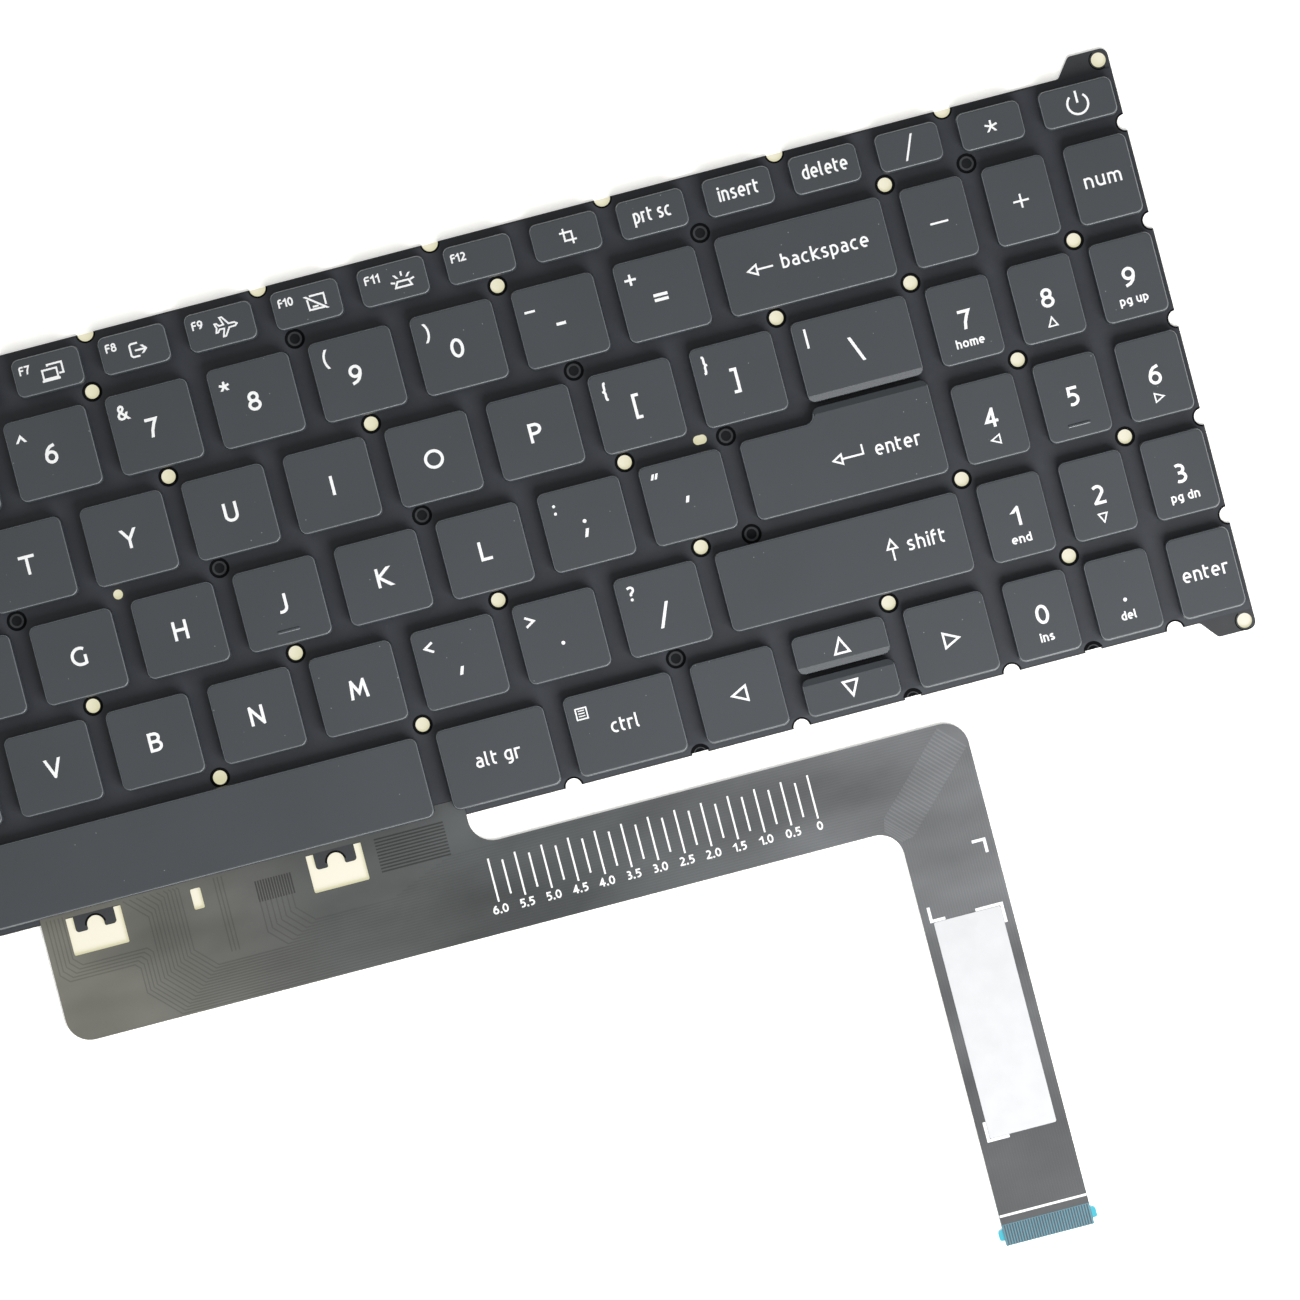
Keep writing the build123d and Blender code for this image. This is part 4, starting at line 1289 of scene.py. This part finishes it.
space_x = (key_boxes["key_space"][0].x + key_boxes["key_space"][1].x) / 2
front_ear = ear_corners(PLATE_FRONT - FRONT_EAR_REACH, PLATE_FRONT)
rear_ear = ear_corners(PLATE_REAR + REAR_EAR_REACH, PLATE_REAR)
blind_end = PLATE_FRONT + BLIND_NOTCH_DEPTH
tab_places = [space_x + LEFT_TAB_OFFSET, space_x + RIGHT_TAB_OFFSET]
front_details = [tab_corners(x) for x in tab_places]
front_details.append(step_corners(space_x, PEG_WIDTH / 2, PLATE_FRONT - PEG_REACH, PEG_CORNER))
for notch in blind_notches:
    front_details.append(step_corners(notch.x, NOTCH_RADIUS, blind_end, BLIND_NOTCH_CORNER))
plate_corners = [(-x, y, fillet) for x, y, fillet in front_ear]
for corners in sorted(front_details):
    plate_corners += corners
plate_corners += front_ear[::-1] + rear_ear + [(-x, y, fillet) for x, y, fillet in rear_ear[::-1]]
ear_holes = []
for side in (-1, 1):
    for level in (PLATE_FRONT - EAR_HOLE_REACH, PLATE_REAR + EAR_HOLE_REACH):
        ear_holes.append(Vector((side * (PLATE_SIDE - EAR_HOLE_INSET), level)))
slot_loop = rounded(box_about(slot.x, slot.y, SLOT_LENGTH, SLOT_WIDTH), SLOT_CORNER)
locating_holes = [circle(pin.x, pin.y, PIN_RADIUS), slot_loop]
plate_loops = [outline(plate_corners, edge_notches, NOTCH_RADIUS)] + locating_holes
plate_loops += [circle(stake.x, stake.y, STAKE_RADIUS) for stake in through_stakes + [covered_stake]]
plate_loops += [circle(hole.x, hole.y, EAR_HOLE_RADIUS) for hole in ear_holes]
plate = bmesh.new()
add_flat(plate, plate_loops, 0, PLATE_TOP)
add_piece("base_plate_stamping", plate, PLATE_PAINT, "board", "plate_paint", "base_plate")

# Rings round the holes and stakes: black rings of painted shade at the hole walls, and pressed seats on the
# stakes
RING_GAP = 0.02
COLLAR_RADIUS = SHEET_HOLE - RING_GAP
COLLAR_RISE = 0.03
COLLAR_SWEEP = 0.47 * pi
BLIND_COLLAR_HALF = 1.6
SEAT_RADIUS = 1.3
SEAT_RING = 0.36
SEAT_RISE = 0.12
BLIND_SEAT_HALF = 1.1
BLIND_SEAT_GAP = 0.05
HOLLOW_RADIUS = SEAT_RADIUS - SEAT_RING - 0.01
EAR_LINE_RADIUS = 1.72
EAR_LINE_WIDTH = 0.2
EAR_LINE_SWEEP = (radians(120), radians(300))
TAB_RIM_WIDTH = 0.35
TAB_RIM_RADIUS = TAB_NOTCH_RADIUS + TAB_RIM_WIDTH / 2 + 0.03
TAB_RIM_SWEEP = (radians(5), radians(175))


def inner_side(place):
    """Angle from a place on the plate's edge towards the plate."""
    if abs(place.x) > PLATE_SIDE - 0.01:
        return pi if place.x > 0 else 0.0
    return -pi / 2 if place.y > 0 else pi / 2


def emboss(bm, loops, rise):
    """Add a low shape on the plate."""
    add_flat(bm, loops, PLATE_TOP, PLATE_TOP + rise)


# Black rings of painted shade at the walls of the holes, stakes and notches, where the sheet's wider holes
# bare the plate; the arcs by the ear holes and tab notches take the same black
collars = bmesh.new()
for stake in through_stakes + blind_stakes:
    ring = [circle(stake.x, stake.y, COLLAR_RADIUS), circle(stake.x, stake.y, STAKE_RADIUS + RING_GAP)]
    emboss(collars, ring, COLLAR_RISE)
for notch in edge_notches:
    first = inner_side(notch) - COLLAR_SWEEP
    last = inner_side(notch) + COLLAR_SWEEP
    ring = arc(notch.x, notch.y, COLLAR_RADIUS, first, last)
    ring += arc(notch.x, notch.y, NOTCH_RADIUS + RING_GAP, last, first)
    emboss(collars, [ring], COLLAR_RISE)
for notch in blind_notches:
    start = atan2(BLIND_NOTCH_DEPTH + RING_GAP, BLIND_COLLAR_HALF)
    emboss(collars, [arc(notch.x, notch.y, COLLAR_RADIUS, start, pi - start)], COLLAR_RISE)
for hole in ear_holes:
    line = arc(hole.x, hole.y, EAR_LINE_RADIUS, *EAR_LINE_SWEEP)
    emboss(collars, ribbon(line, EAR_LINE_WIDTH), COLLAR_RISE)
for x in tab_places:
    level = PLATE_FRONT - TAB_REACH + TAB_NOTCH_DEPTH - TAB_NOTCH_RADIUS
    emboss(collars, ribbon(arc(x, level, TAB_RIM_RADIUS, *TAB_RIM_SWEEP), TAB_RIM_WIDTH), COLLAR_RISE)
add_piece("hole_collar_shade", collars, COLLAR_SHADE, "board", "plate_paint")

# Pressed stakes that show in the sheet's blind holes and blind notches, with a darker disc of painted shade
# in each stake's hollow
seats = bmesh.new()
hollows = bmesh.new()
for stake in blind_stakes:
    ring = [circle(stake.x, stake.y, SEAT_RADIUS), circle(stake.x, stake.y, SEAT_RADIUS - SEAT_RING)]
    emboss(seats, ring, SEAT_RISE)
    emboss(hollows, [circle(stake.x, stake.y, HOLLOW_RADIUS)], COLLAR_RISE)
for notch in blind_notches:
    start = atan2(BLIND_NOTCH_DEPTH + BLIND_SEAT_GAP, BLIND_SEAT_HALF)
    line = arc(notch.x, notch.y, SEAT_RADIUS - SEAT_RING / 2, start, pi - start)
    emboss(seats, ribbon(line, SEAT_RING / 2), SEAT_RISE)
add_piece("stake_rings", seats, PLATE_PAINT, "board", "plate_paint")
add_piece("stake_hollow_shade", hollows, STAKE_SHADE, "board", "plate_paint")

# Sheet
LEAD_RIGHT_OFFSET = 51.2
film_low, film_high = node_box("flex_tail")
lead_left = film_low.x - FILM_BUTT
lead_right = space_x + LEAD_RIGHT_OFFSET + FILM_BUTT
lead_rear = film_high.y + FILM_BUTT
sheet_corners = [(sheet_low.x, sheet_low.y, 0), (lead_left, sheet_low.y, 0), (lead_left, lead_rear, 0)]
sheet_corners += [(lead_right, lead_rear, 0), (lead_right, sheet_low.y, 0), (sheet_high.x, sheet_low.y, 0)]
sheet_corners += [(sheet_high.x, sheet_high.y, 0), (sheet_low.x, sheet_high.y, 0)]
sheet_loops = [outline(sheet_corners, edge_notches + blind_notches, SHEET_HOLE)] + locating_holes
sheet_loops += [circle(stake.x, stake.y, SHEET_HOLE) for stake in through_stakes + blind_stakes]
sheet = bmesh.new()
add_flat(sheet, sheet_loops, PLATE_TOP, SHEET_TOP)
add_piece("membrane_sheet_layers", sheet, PRINTED_SHEET, "board", "printed_sheet", "membrane_sheet")


# Film tail, with printing, conductors and contacts on it
stiffener_low, stiffener_high = node_box("tail_stiffener")
label_low, label_high = node_box("tail_label")
arm_right = film_high.x
arm_middle = (label_low.x + label_high.x) / 2
arm_left = 2 * arm_middle - arm_right
arm_end = film_low.y
TAIL_REAR = PLATE_FRONT - 5.8
TAIL_FRONT = TAIL_REAR - 16.7
TAIL_CORNER = 4.5
WINDOW_REAR = -0.15
WINDOW_FRONT = 6.9
WINDOW_SIDE = 1.35
SLIT_REAR = 0.5
SLIT_FRONT = 4.3
SLIT_SIDE = 0.15
WINDOW_CORNER = 0.3
CATCH_LOW = 1.1
CATCH_HIGH = 3.1
LABEL_CORNER = 0.35


def window(x, half, rear, front):
    """Opening in the film in front of a tab or the peg, between two distances from the plate's edge."""
    near, far = PLATE_FRONT - front, PLATE_FRONT - rear
    return rounded(rectangle(x - half, near, x + half, far), WINDOW_CORNER)


film_right = space_x + LEAD_RIGHT_OFFSET
film_corners = [(film_low.x, film_high.y, 0), (film_low.x, TAIL_FRONT, TAIL_CORNER)]
film_corners += [(arm_left, TAIL_FRONT, TAIL_CORNER), (arm_left, arm_end, 0), (arm_right, arm_end, 0)]
film_corners += [(arm_right, TAIL_REAR, TAIL_CORNER), (film_right, TAIL_REAR, TAIL_CORNER)]
film_corners.append((film_right, film_high.y, 0))
film_loops = [outline(film_corners), window(space_x, PEG_WIDTH / 2 + SLIT_SIDE, SLIT_REAR, SLIT_FRONT)]
for x in tab_places:
    film_loops.append(window(x, TAB_WIDTH / 2 + WINDOW_SIDE, WINDOW_REAR, WINDOW_FRONT))
film = bmesh.new()
add_flat(film, film_loops, film_low.z, FILM_TOP)
FILM = smoky_film("smoky_film", [(0.0, 1.0), (1.0, 1.0)])
add_piece("flex_tail_film", film, FILM, "board", "film", "flex_tail")

# Stiffener with a rounded catch on each side
catch = stiffener_high.x
strip_corners = [(arm_right, arm_end, 0.1), (arm_right, arm_end + CATCH_LOW, 0.2)]
strip_corners += [(catch, arm_end + CATCH_LOW, 0.35), (catch, arm_end + CATCH_HIGH, 0.6)]
strip_corners += [(arm_right, arm_end + CATCH_HIGH, 0.2), (arm_right, stiffener_high.y, 0.1)]
strip_corners += [(2 * arm_middle - x, y, fillet) for x, y, fillet in strip_corners[::-1]]
strip = bmesh.new()
add_flat(strip, [outline(strip_corners)], stiffener_low.z, stiffener_high.z)
add_piece("tail_stiffener_strip", strip, TEAL_STRIP, "board", "stiffener", "tail_stiffener")

# Label with slightly rounded corners
paper_loop = rounded(rectangle(label_low.x, label_low.y, label_high.x, label_high.y), LABEL_CORNER)
paper = bmesh.new()
add_flat(paper, [paper_loop], label_low.z, label_high.z)
add_piece("tail_label_paper", paper, LABEL_PAPER, "board", "label", "tail_label")

# Printing on the tail
RULER_ZERO = 13.55
RULER_STEP = 5.0
RULER_STEPS = 12
MAJOR_TICK = (2.9, 11.0)
MINOR_TICK = (3.7, 10.1)
RULER_TEXT = 12.35
TICK_WIDTH = 0.34
PRINT_WIDTH = 0.55
END_LINE_WIDTH = 0.42
PRINT_GAP = 0.05
BRACKET = 2.6
LONG_BRACKET = 3.5
MARK_INSET = 1.8
MARK_DROP = 5.55
END_LINE = 5.5
END_LINE_INSET = 0.1
CONTACTS = 32
CONTACT_PITCH = 0.5
CONTACT_WIDTH = 0.27
CONTACT_LENGTH = 3.9


def print_line(bm, points, width, bottom=FILM_TOP, thickness=INK):
    """Add a printed line on the tail."""
    add_flat(bm, ribbon(points, width), bottom, bottom + thickness)


printing = bmesh.new()
for step in range(2 * RULER_STEPS + 1):
    x = arm_left - RULER_ZERO - step * RULER_STEP / 2
    near, far = MINOR_TICK if step % 2 else MAJOR_TICK
    print_line(printing, [(x, TAIL_REAR - far), (x, TAIL_REAR - near)], TICK_WIDTH)
    if step % 2 == 0:
        number = f"{step / 4:.1f}" if step else "0"
        add_ink(printing, written(number, 0, 0, SMALL), Vector((x, TAIL_REAR - RULER_TEXT)), FILM_TOP)
outer = PRINT_WIDTH / 2 + PRINT_GAP
label_left, label_right = label_low.x - outer, label_high.x + outer
label_rear, label_front = label_high.y + outer, label_low.y - outer
mark_x, mark_y = arm_right - MARK_INSET, TAIL_FRONT - MARK_DROP
brackets = [
    [(mark_x - 2.3, mark_y), (mark_x, mark_y), (mark_x, mark_y - 2.45)],
    [(label_left, label_rear + BRACKET), (label_left, label_rear), (label_left + BRACKET, label_rear)],
    [(label_right - 4.9, label_rear), (label_right, label_rear), (label_right, label_rear - LONG_BRACKET)],
    [(label_left, label_front + LONG_BRACKET), (label_left, label_front), (label_left + 3.9, label_front)],
]
for bracket in brackets:
    print_line(printing, bracket, PRINT_WIDTH)
end_level = arm_end + END_LINE
end_line = [(arm_left + END_LINE_INSET, end_level), (arm_right - END_LINE_INSET, end_level)]
print_line(printing, end_line, END_LINE_WIDTH)
add_piece("tail_printing", printing, WHITE_INK, "board", "film")

# Contacts over a teal ground
ground = bmesh.new()
zone = [(arm_middle, arm_end + 0.05), (arm_middle, arm_end + CONTACT_LENGTH)]
print_line(ground, zone, arm_right - arm_left - 0.1)
add_piece("contact_ground", ground, CONTACT_GROUND, "board", "stiffener")
fingers = bmesh.new()
for i in range(CONTACTS):
    x = arm_middle + (i - (CONTACTS - 1) / 2) * CONTACT_PITCH
    finger = [(x, arm_end + 0.15), (x, arm_end + CONTACT_LENGTH - 0.1)]
    print_line(fingers, finger, CONTACT_WIDTH, FILM_TOP + INK)
add_piece("contact_fingers", fingers, CONTACT_PRINT, "board", "film")

# Conductors in the film, placed by their distance right of and below the lead's rear left corner
TRACE_WIDTH = 0.24
TRACE_INK = 0.006
LINE_PITCH = 0.5
FIRST_LINE = 9.6
LEAD_START = 2.6
COLUMN_PITCH = 0.72
LEFT_LINES = 5
LEFT_COLUMN = 1.1
LEFT_PITCH = 0.75
SHELF = 14.3
SHELF_PITCH = 0.6
SHELF_BEND = 1.5
SECOND_COLUMN = 15.7
SECOND_BEND = 0.9
SECOND_DROP = 19.8
SECOND_DROP_STEP = 0.35
SLANT_LINES = 10
SLANT_COLUMN = 19.4
SLANT_REACH = 3.9
SLANT_STEP = 0.55
LEAST_SLANT = 0.4
SLANT_DROP = 18.0
SLANT_DROP_STEP = 0.4
MIDDLE_LINES = 3
MIDDLE_COLUMN = 32.5
MIDDLE_END = 16.4
BAR_LINES = 7
BAR_LEFT = 39.7
BAR_REAR = 5.1
BAR_FRONT = 9.0
BAR_WIDTH = 0.28
BAR_BEND = 3.0
CROSS_BARS = 11
CROSS_LEFT = 62.5
CROSS_RIGHT = 75.5
CROSS_REAR = 3.3
CROSS_PITCH = 0.6
CROSS_WIDTH = 0.3
SIDE_LINES = CONTACTS - LEFT_LINES - SLANT_LINES - BAR_LINES
SIDE_COLUMN = 64.0
SIDE_STEP = 1.2
CORNER_CUT = 4.5
LEAST_CORNER_CUT = 2.8
CORNER_CUT_STEP = 0.4
CORNER_WIDTH = 0.3
ARM_MARGIN = 0.65
END_MARGIN = 0.7


def add_line(bm, points, width=TRACE_WIDTH):
    """One conductor through its bends."""
    spots = [Vector((film_low.x + across, film_high.y - down)) for across, down in points]
    print_line(bm, spots, width, thickness=TRACE_INK)


def left_start(i, level):
    """Way of a conductor from the left end of the lead down to its level on the tail."""
    first = LEFT_COLUMN + LEFT_PITCH * i
    shelf = SHELF - SHELF_PITCH * i
    second = SECOND_COLUMN + COLUMN_PITCH * i
    drop = SECOND_DROP - SECOND_DROP_STEP * i
    way = [(first, LEAD_START), (first, shelf - SHELF_BEND), (first + SHELF_BEND, shelf)]
    way += [(second - SECOND_BEND, shelf), (second, shelf + SECOND_BEND)]
    return way + [(second, drop), (second + level - drop, level)]


def slant_start(i, level):
    """Way of a conductor that slants in beside the left tab."""
    column = SLANT_COLUMN + COLUMN_PITCH * i
    slant = max(LEAST_SLANT, SLANT_REACH - SLANT_STEP * i)
    drop = SLANT_DROP - SLANT_DROP_STEP * i
    way = [(column - slant, LEAD_START), (column, LEAD_START + slant), (column, drop)]
    return way + [(column + level - drop, level)]


def bar_start(i, level):
    """Way of a conductor from its dark bar between the tabs."""
    column = BAR_LEFT + i
    return [(column, BAR_FRONT), (column, level - BAR_BEND), (column + BAR_BEND, level)]


def side_start(i, level):
    """Start of a conductor at the right end of the lead."""
    return [(SIDE_COLUMN + SIDE_STEP * i, level)]


groups = [(left_start, LEFT_LINES), (slant_start, SLANT_LINES)]
groups += [(bar_start, BAR_LINES), (side_start, SIDE_LINES)]
starts = [(start, i) for start, count in groups for i in range(count)]
lines = bmesh.new()
corner_sheen_lines = bmesh.new()
last_column = arm_right - film_low.x - ARM_MARGIN
line_end = film_high.y - arm_end - END_LINE - END_MARGIN
for step, (start, i) in enumerate(reversed(starts)):
    level = FIRST_LINE + LINE_PITCH * step
    column = last_column - LINE_PITCH * step
    corner = min(CORNER_CUT, LEAST_CORNER_CUT + CORNER_CUT_STEP * (CONTACTS - 1 - step))
    bend = [(column - corner, level), (column, level + corner)]
    add_line(lines, start(i, level) + bend[:1])
    add_line(corner_sheen_lines, bend, CORNER_WIDTH)
    add_line(lines, [bend[1], (column, line_end)])
for i in range(MIDDLE_LINES):
    column = MIDDLE_COLUMN + COLUMN_PITCH * i
    add_line(lines, [(column, LEAD_START), (column, MIDDLE_END)])
line_shades = [(0.0, 0.74), (1.0, 0.9), (0.22, 0.74), (0.36, 0.88), (0.9, 0.92)]
add_piece("tail_lines", lines, smoky_film("film_lines", line_shades), "board", "film")
# The bends of the conductors at the inner corner are painted lighter, as sheen
corner_sheen_film = smoky_film("corner_sheen_lines", [(0.0, 1.25), (1.0, 1.25)])
add_piece("corner_sheen_lines", corner_sheen_lines, corner_sheen_film, "board", "film")
bars = bmesh.new()
for i in range(2 * BAR_LINES):
    column = BAR_LEFT + i / 2
    add_line(bars, [(column, BAR_REAR), (column, BAR_FRONT)], BAR_WIDTH)
for i in range(CROSS_BARS):
    level = CROSS_REAR + CROSS_PITCH * i
    add_line(bars, [(CROSS_LEFT, level), (CROSS_RIGHT, level)], CROSS_WIDTH)
add_piece("film_bars", bars, smoky_film("film_bars", [(0.0, 0.42), (1.0, 0.42)]), "board", "film")

# Domes and links, one set under each moving key

PAD_WIDTH = key_boxes["pad_5"][1].x - key_boxes["pad_5"][0].x
LINK_WIDTH = PAD_WIDTH - 2 * (CAP_WALL + LINK_SIDE_PLAY)
DOME_SIDES = 20


def dome_solid(x, y, base, top):
    """Rubber dome: a flange, a thin cone and a plunger under the cap."""
    rise = CEILING - SHEET_TOP
    waist = (base + top) / 2
    profile = [(0.0, base), (0.07, base), (0.1, 0.9 * base), (0.6, waist), (0.75, top), (1.0, top)]
    rings = []
    for share, radius in profile:
        rings.append([(*spot, SHEET_TOP + share * rise) for spot in circle(x, y, radius, DOME_SIDES)])
    return skin(rings)


def link_solid(x, y, length, width, bar, lean_side):
    """Link frame that leans from the sheet up to the cap."""
    room = CEILING - SHEET_TOP - LINK_THICKNESS - 2 * LINK_PLAY
    loops = [rounded(box_about(0, 0, width, length), LINK_CORNER)]
    loops.append(rounded(box_about(0, 0, width - 2 * bar, length - 2 * bar), LINK_CORNER / 2))
    bm = bmesh.new()
    add_flat(bm, loops, -LINK_THICKNESS / 2, LINK_THICKNESS / 2)
    lean = lean_side * atan2(room, sqrt(length**2 - room**2))
    bmesh.ops.rotate(bm, verts=bm.verts, cent=(0, 0, 0), matrix=Matrix.Rotation(lean, 3, "X"))
    bmesh.ops.translate(bm, verts=bm.verts, vec=(x, y, (SHEET_TOP + CEILING) / 2))
    return bm


for name in moving_names:
    lowest, highest = key_boxes[name]
    x = (lowest.x + highest.x) / 2
    depth = min(highest.y - lowest.y, KEY_DEPTH)
    y = lowest.y + depth / 2
    small = depth < KEY_DEPTH - 1
    base, top = (SMALL_DOME_RADIUS, SMALL_DOME_TOP_RADIUS) if small else (DOME_RADIUS, DOME_TOP_RADIUS)
    bar = SMALL_LINK_BAR if small else LINK_BAR
    length = depth - 2 * (CAP_WALL + (SMALL_LINK_END_PLAY if small else LINK_END_PLAY))
    inner_width = LINK_WIDTH - 2 * (LINK_BAR + LINK_SIDE_PLAY)
    outer = link_solid(x, y, length, LINK_WIDTH, bar, 1)
    inner = link_solid(x, y, length, inner_width, bar, -1)
    soft = (
        ("dome", dome_solid(x, y, base, top), DOME_RUBBER, "dome_rubber", "rubber_domes"),
        ("outer_link", outer, LINK_PLASTIC, "link_plastic", "scissor_outer_links"),
        ("inner_link", inner, LINK_PLASTIC, "link_plastic", "scissor_inner_links"),
    )
    for kind, solid, material, finish, node in soft:
        piece = add_piece(f"{name}_{kind}", solid, material, "board", finish, node)
        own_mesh(piece)


# Studio


def add_stage(name, bm, material):
    """Put a piece of the studio under the keyboard."""
    piece = bpy.data.objects.new(name, finish_mesh(bm, name, radians(30)))
    piece.data.materials.append(material)
    scene.collection.objects.link(piece)


def studio():
    """Pale floor, soft light from the front of the keyboard and a camera straight above."""
    bm = bmesh.new()
    bmesh.ops.create_grid(bm, x_segments=4, y_segments=4, size=FLOOR_SIZE / 2)
    bmesh.ops.translate(bm, verts=bm.verts, vec=(VIEW_X, VIEW_Y, -FLOOR_GAP))
    add_stage("floor", bm, studio_floor())

    # Cream paper under the holes, windows and ear holes, which glows with painted cream light
    side = PLATE_SIDE - PAPER_INSET
    front = PLATE_FRONT + PAPER_INSET
    near = PLATE_FRONT - WINDOW_FRONT - PAPER_LAP
    loops = [rectangle(-side, front, side, PLATE_REAR - PAPER_MARGIN)]
    loops.append(rectangle(tab_places[0] - TAB_WIDTH, near, tab_places[1] + TAB_WIDTH, front - PAPER_LAP))
    loops += [circle(hole.x, hole.y, EAR_HOLE_RADIUS + HOLE_LAP) for hole in ear_holes]
    paper = bmesh.new()
    add_flat(paper, loops, *PAPER_LEVELS)
    add_stage("glowing_backing_paper", paper, glowing_cream_paper())

    world = bpy.data.worlds.new("studio")
    world.use_nodes = True
    sky = world.node_tree.nodes["Background"]
    sky.inputs["Color"].default_value = (1.0, 1.0, 1.0, 1.0)
    sky.inputs["Strength"].default_value = SKY_STRENGTH
    scene.world = world
    scene.view_settings.view_transform = "Standard"

    aim = Vector((VIEW_X, VIEW_Y, 0)) * MM
    for name, (place, size, power) in LIGHTS.items():
        lamp = bpy.data.lights.new(name, "AREA")
        lamp.shape = "DISK"
        lamp.size = size
        lamp.energy = power
        holder = bpy.data.objects.new(name, lamp)
        holder.location = aim + Vector(place)
        holder.rotation_euler = (-Vector(place)).to_track_quat("-Z", "Y").to_euler()
        scene.collection.objects.link(holder)

    camera = bpy.data.objects.new("camera", bpy.data.cameras.new("camera"))
    camera.data.sensor_width = SENSOR
    camera.data.lens = SENSOR * (VIEW_HEIGHT - CAP_TOP) / VIEW_WIDTH
    camera.data.clip_end = CAMERA_RANGE
    camera.location = (VIEW_X * MM, VIEW_Y * MM, VIEW_HEIGHT * MM)
    camera.rotation_euler = (0, 0, radians(VIEW_TURN))
    scene.collection.objects.link(camera)
    scene.camera = camera


studio()
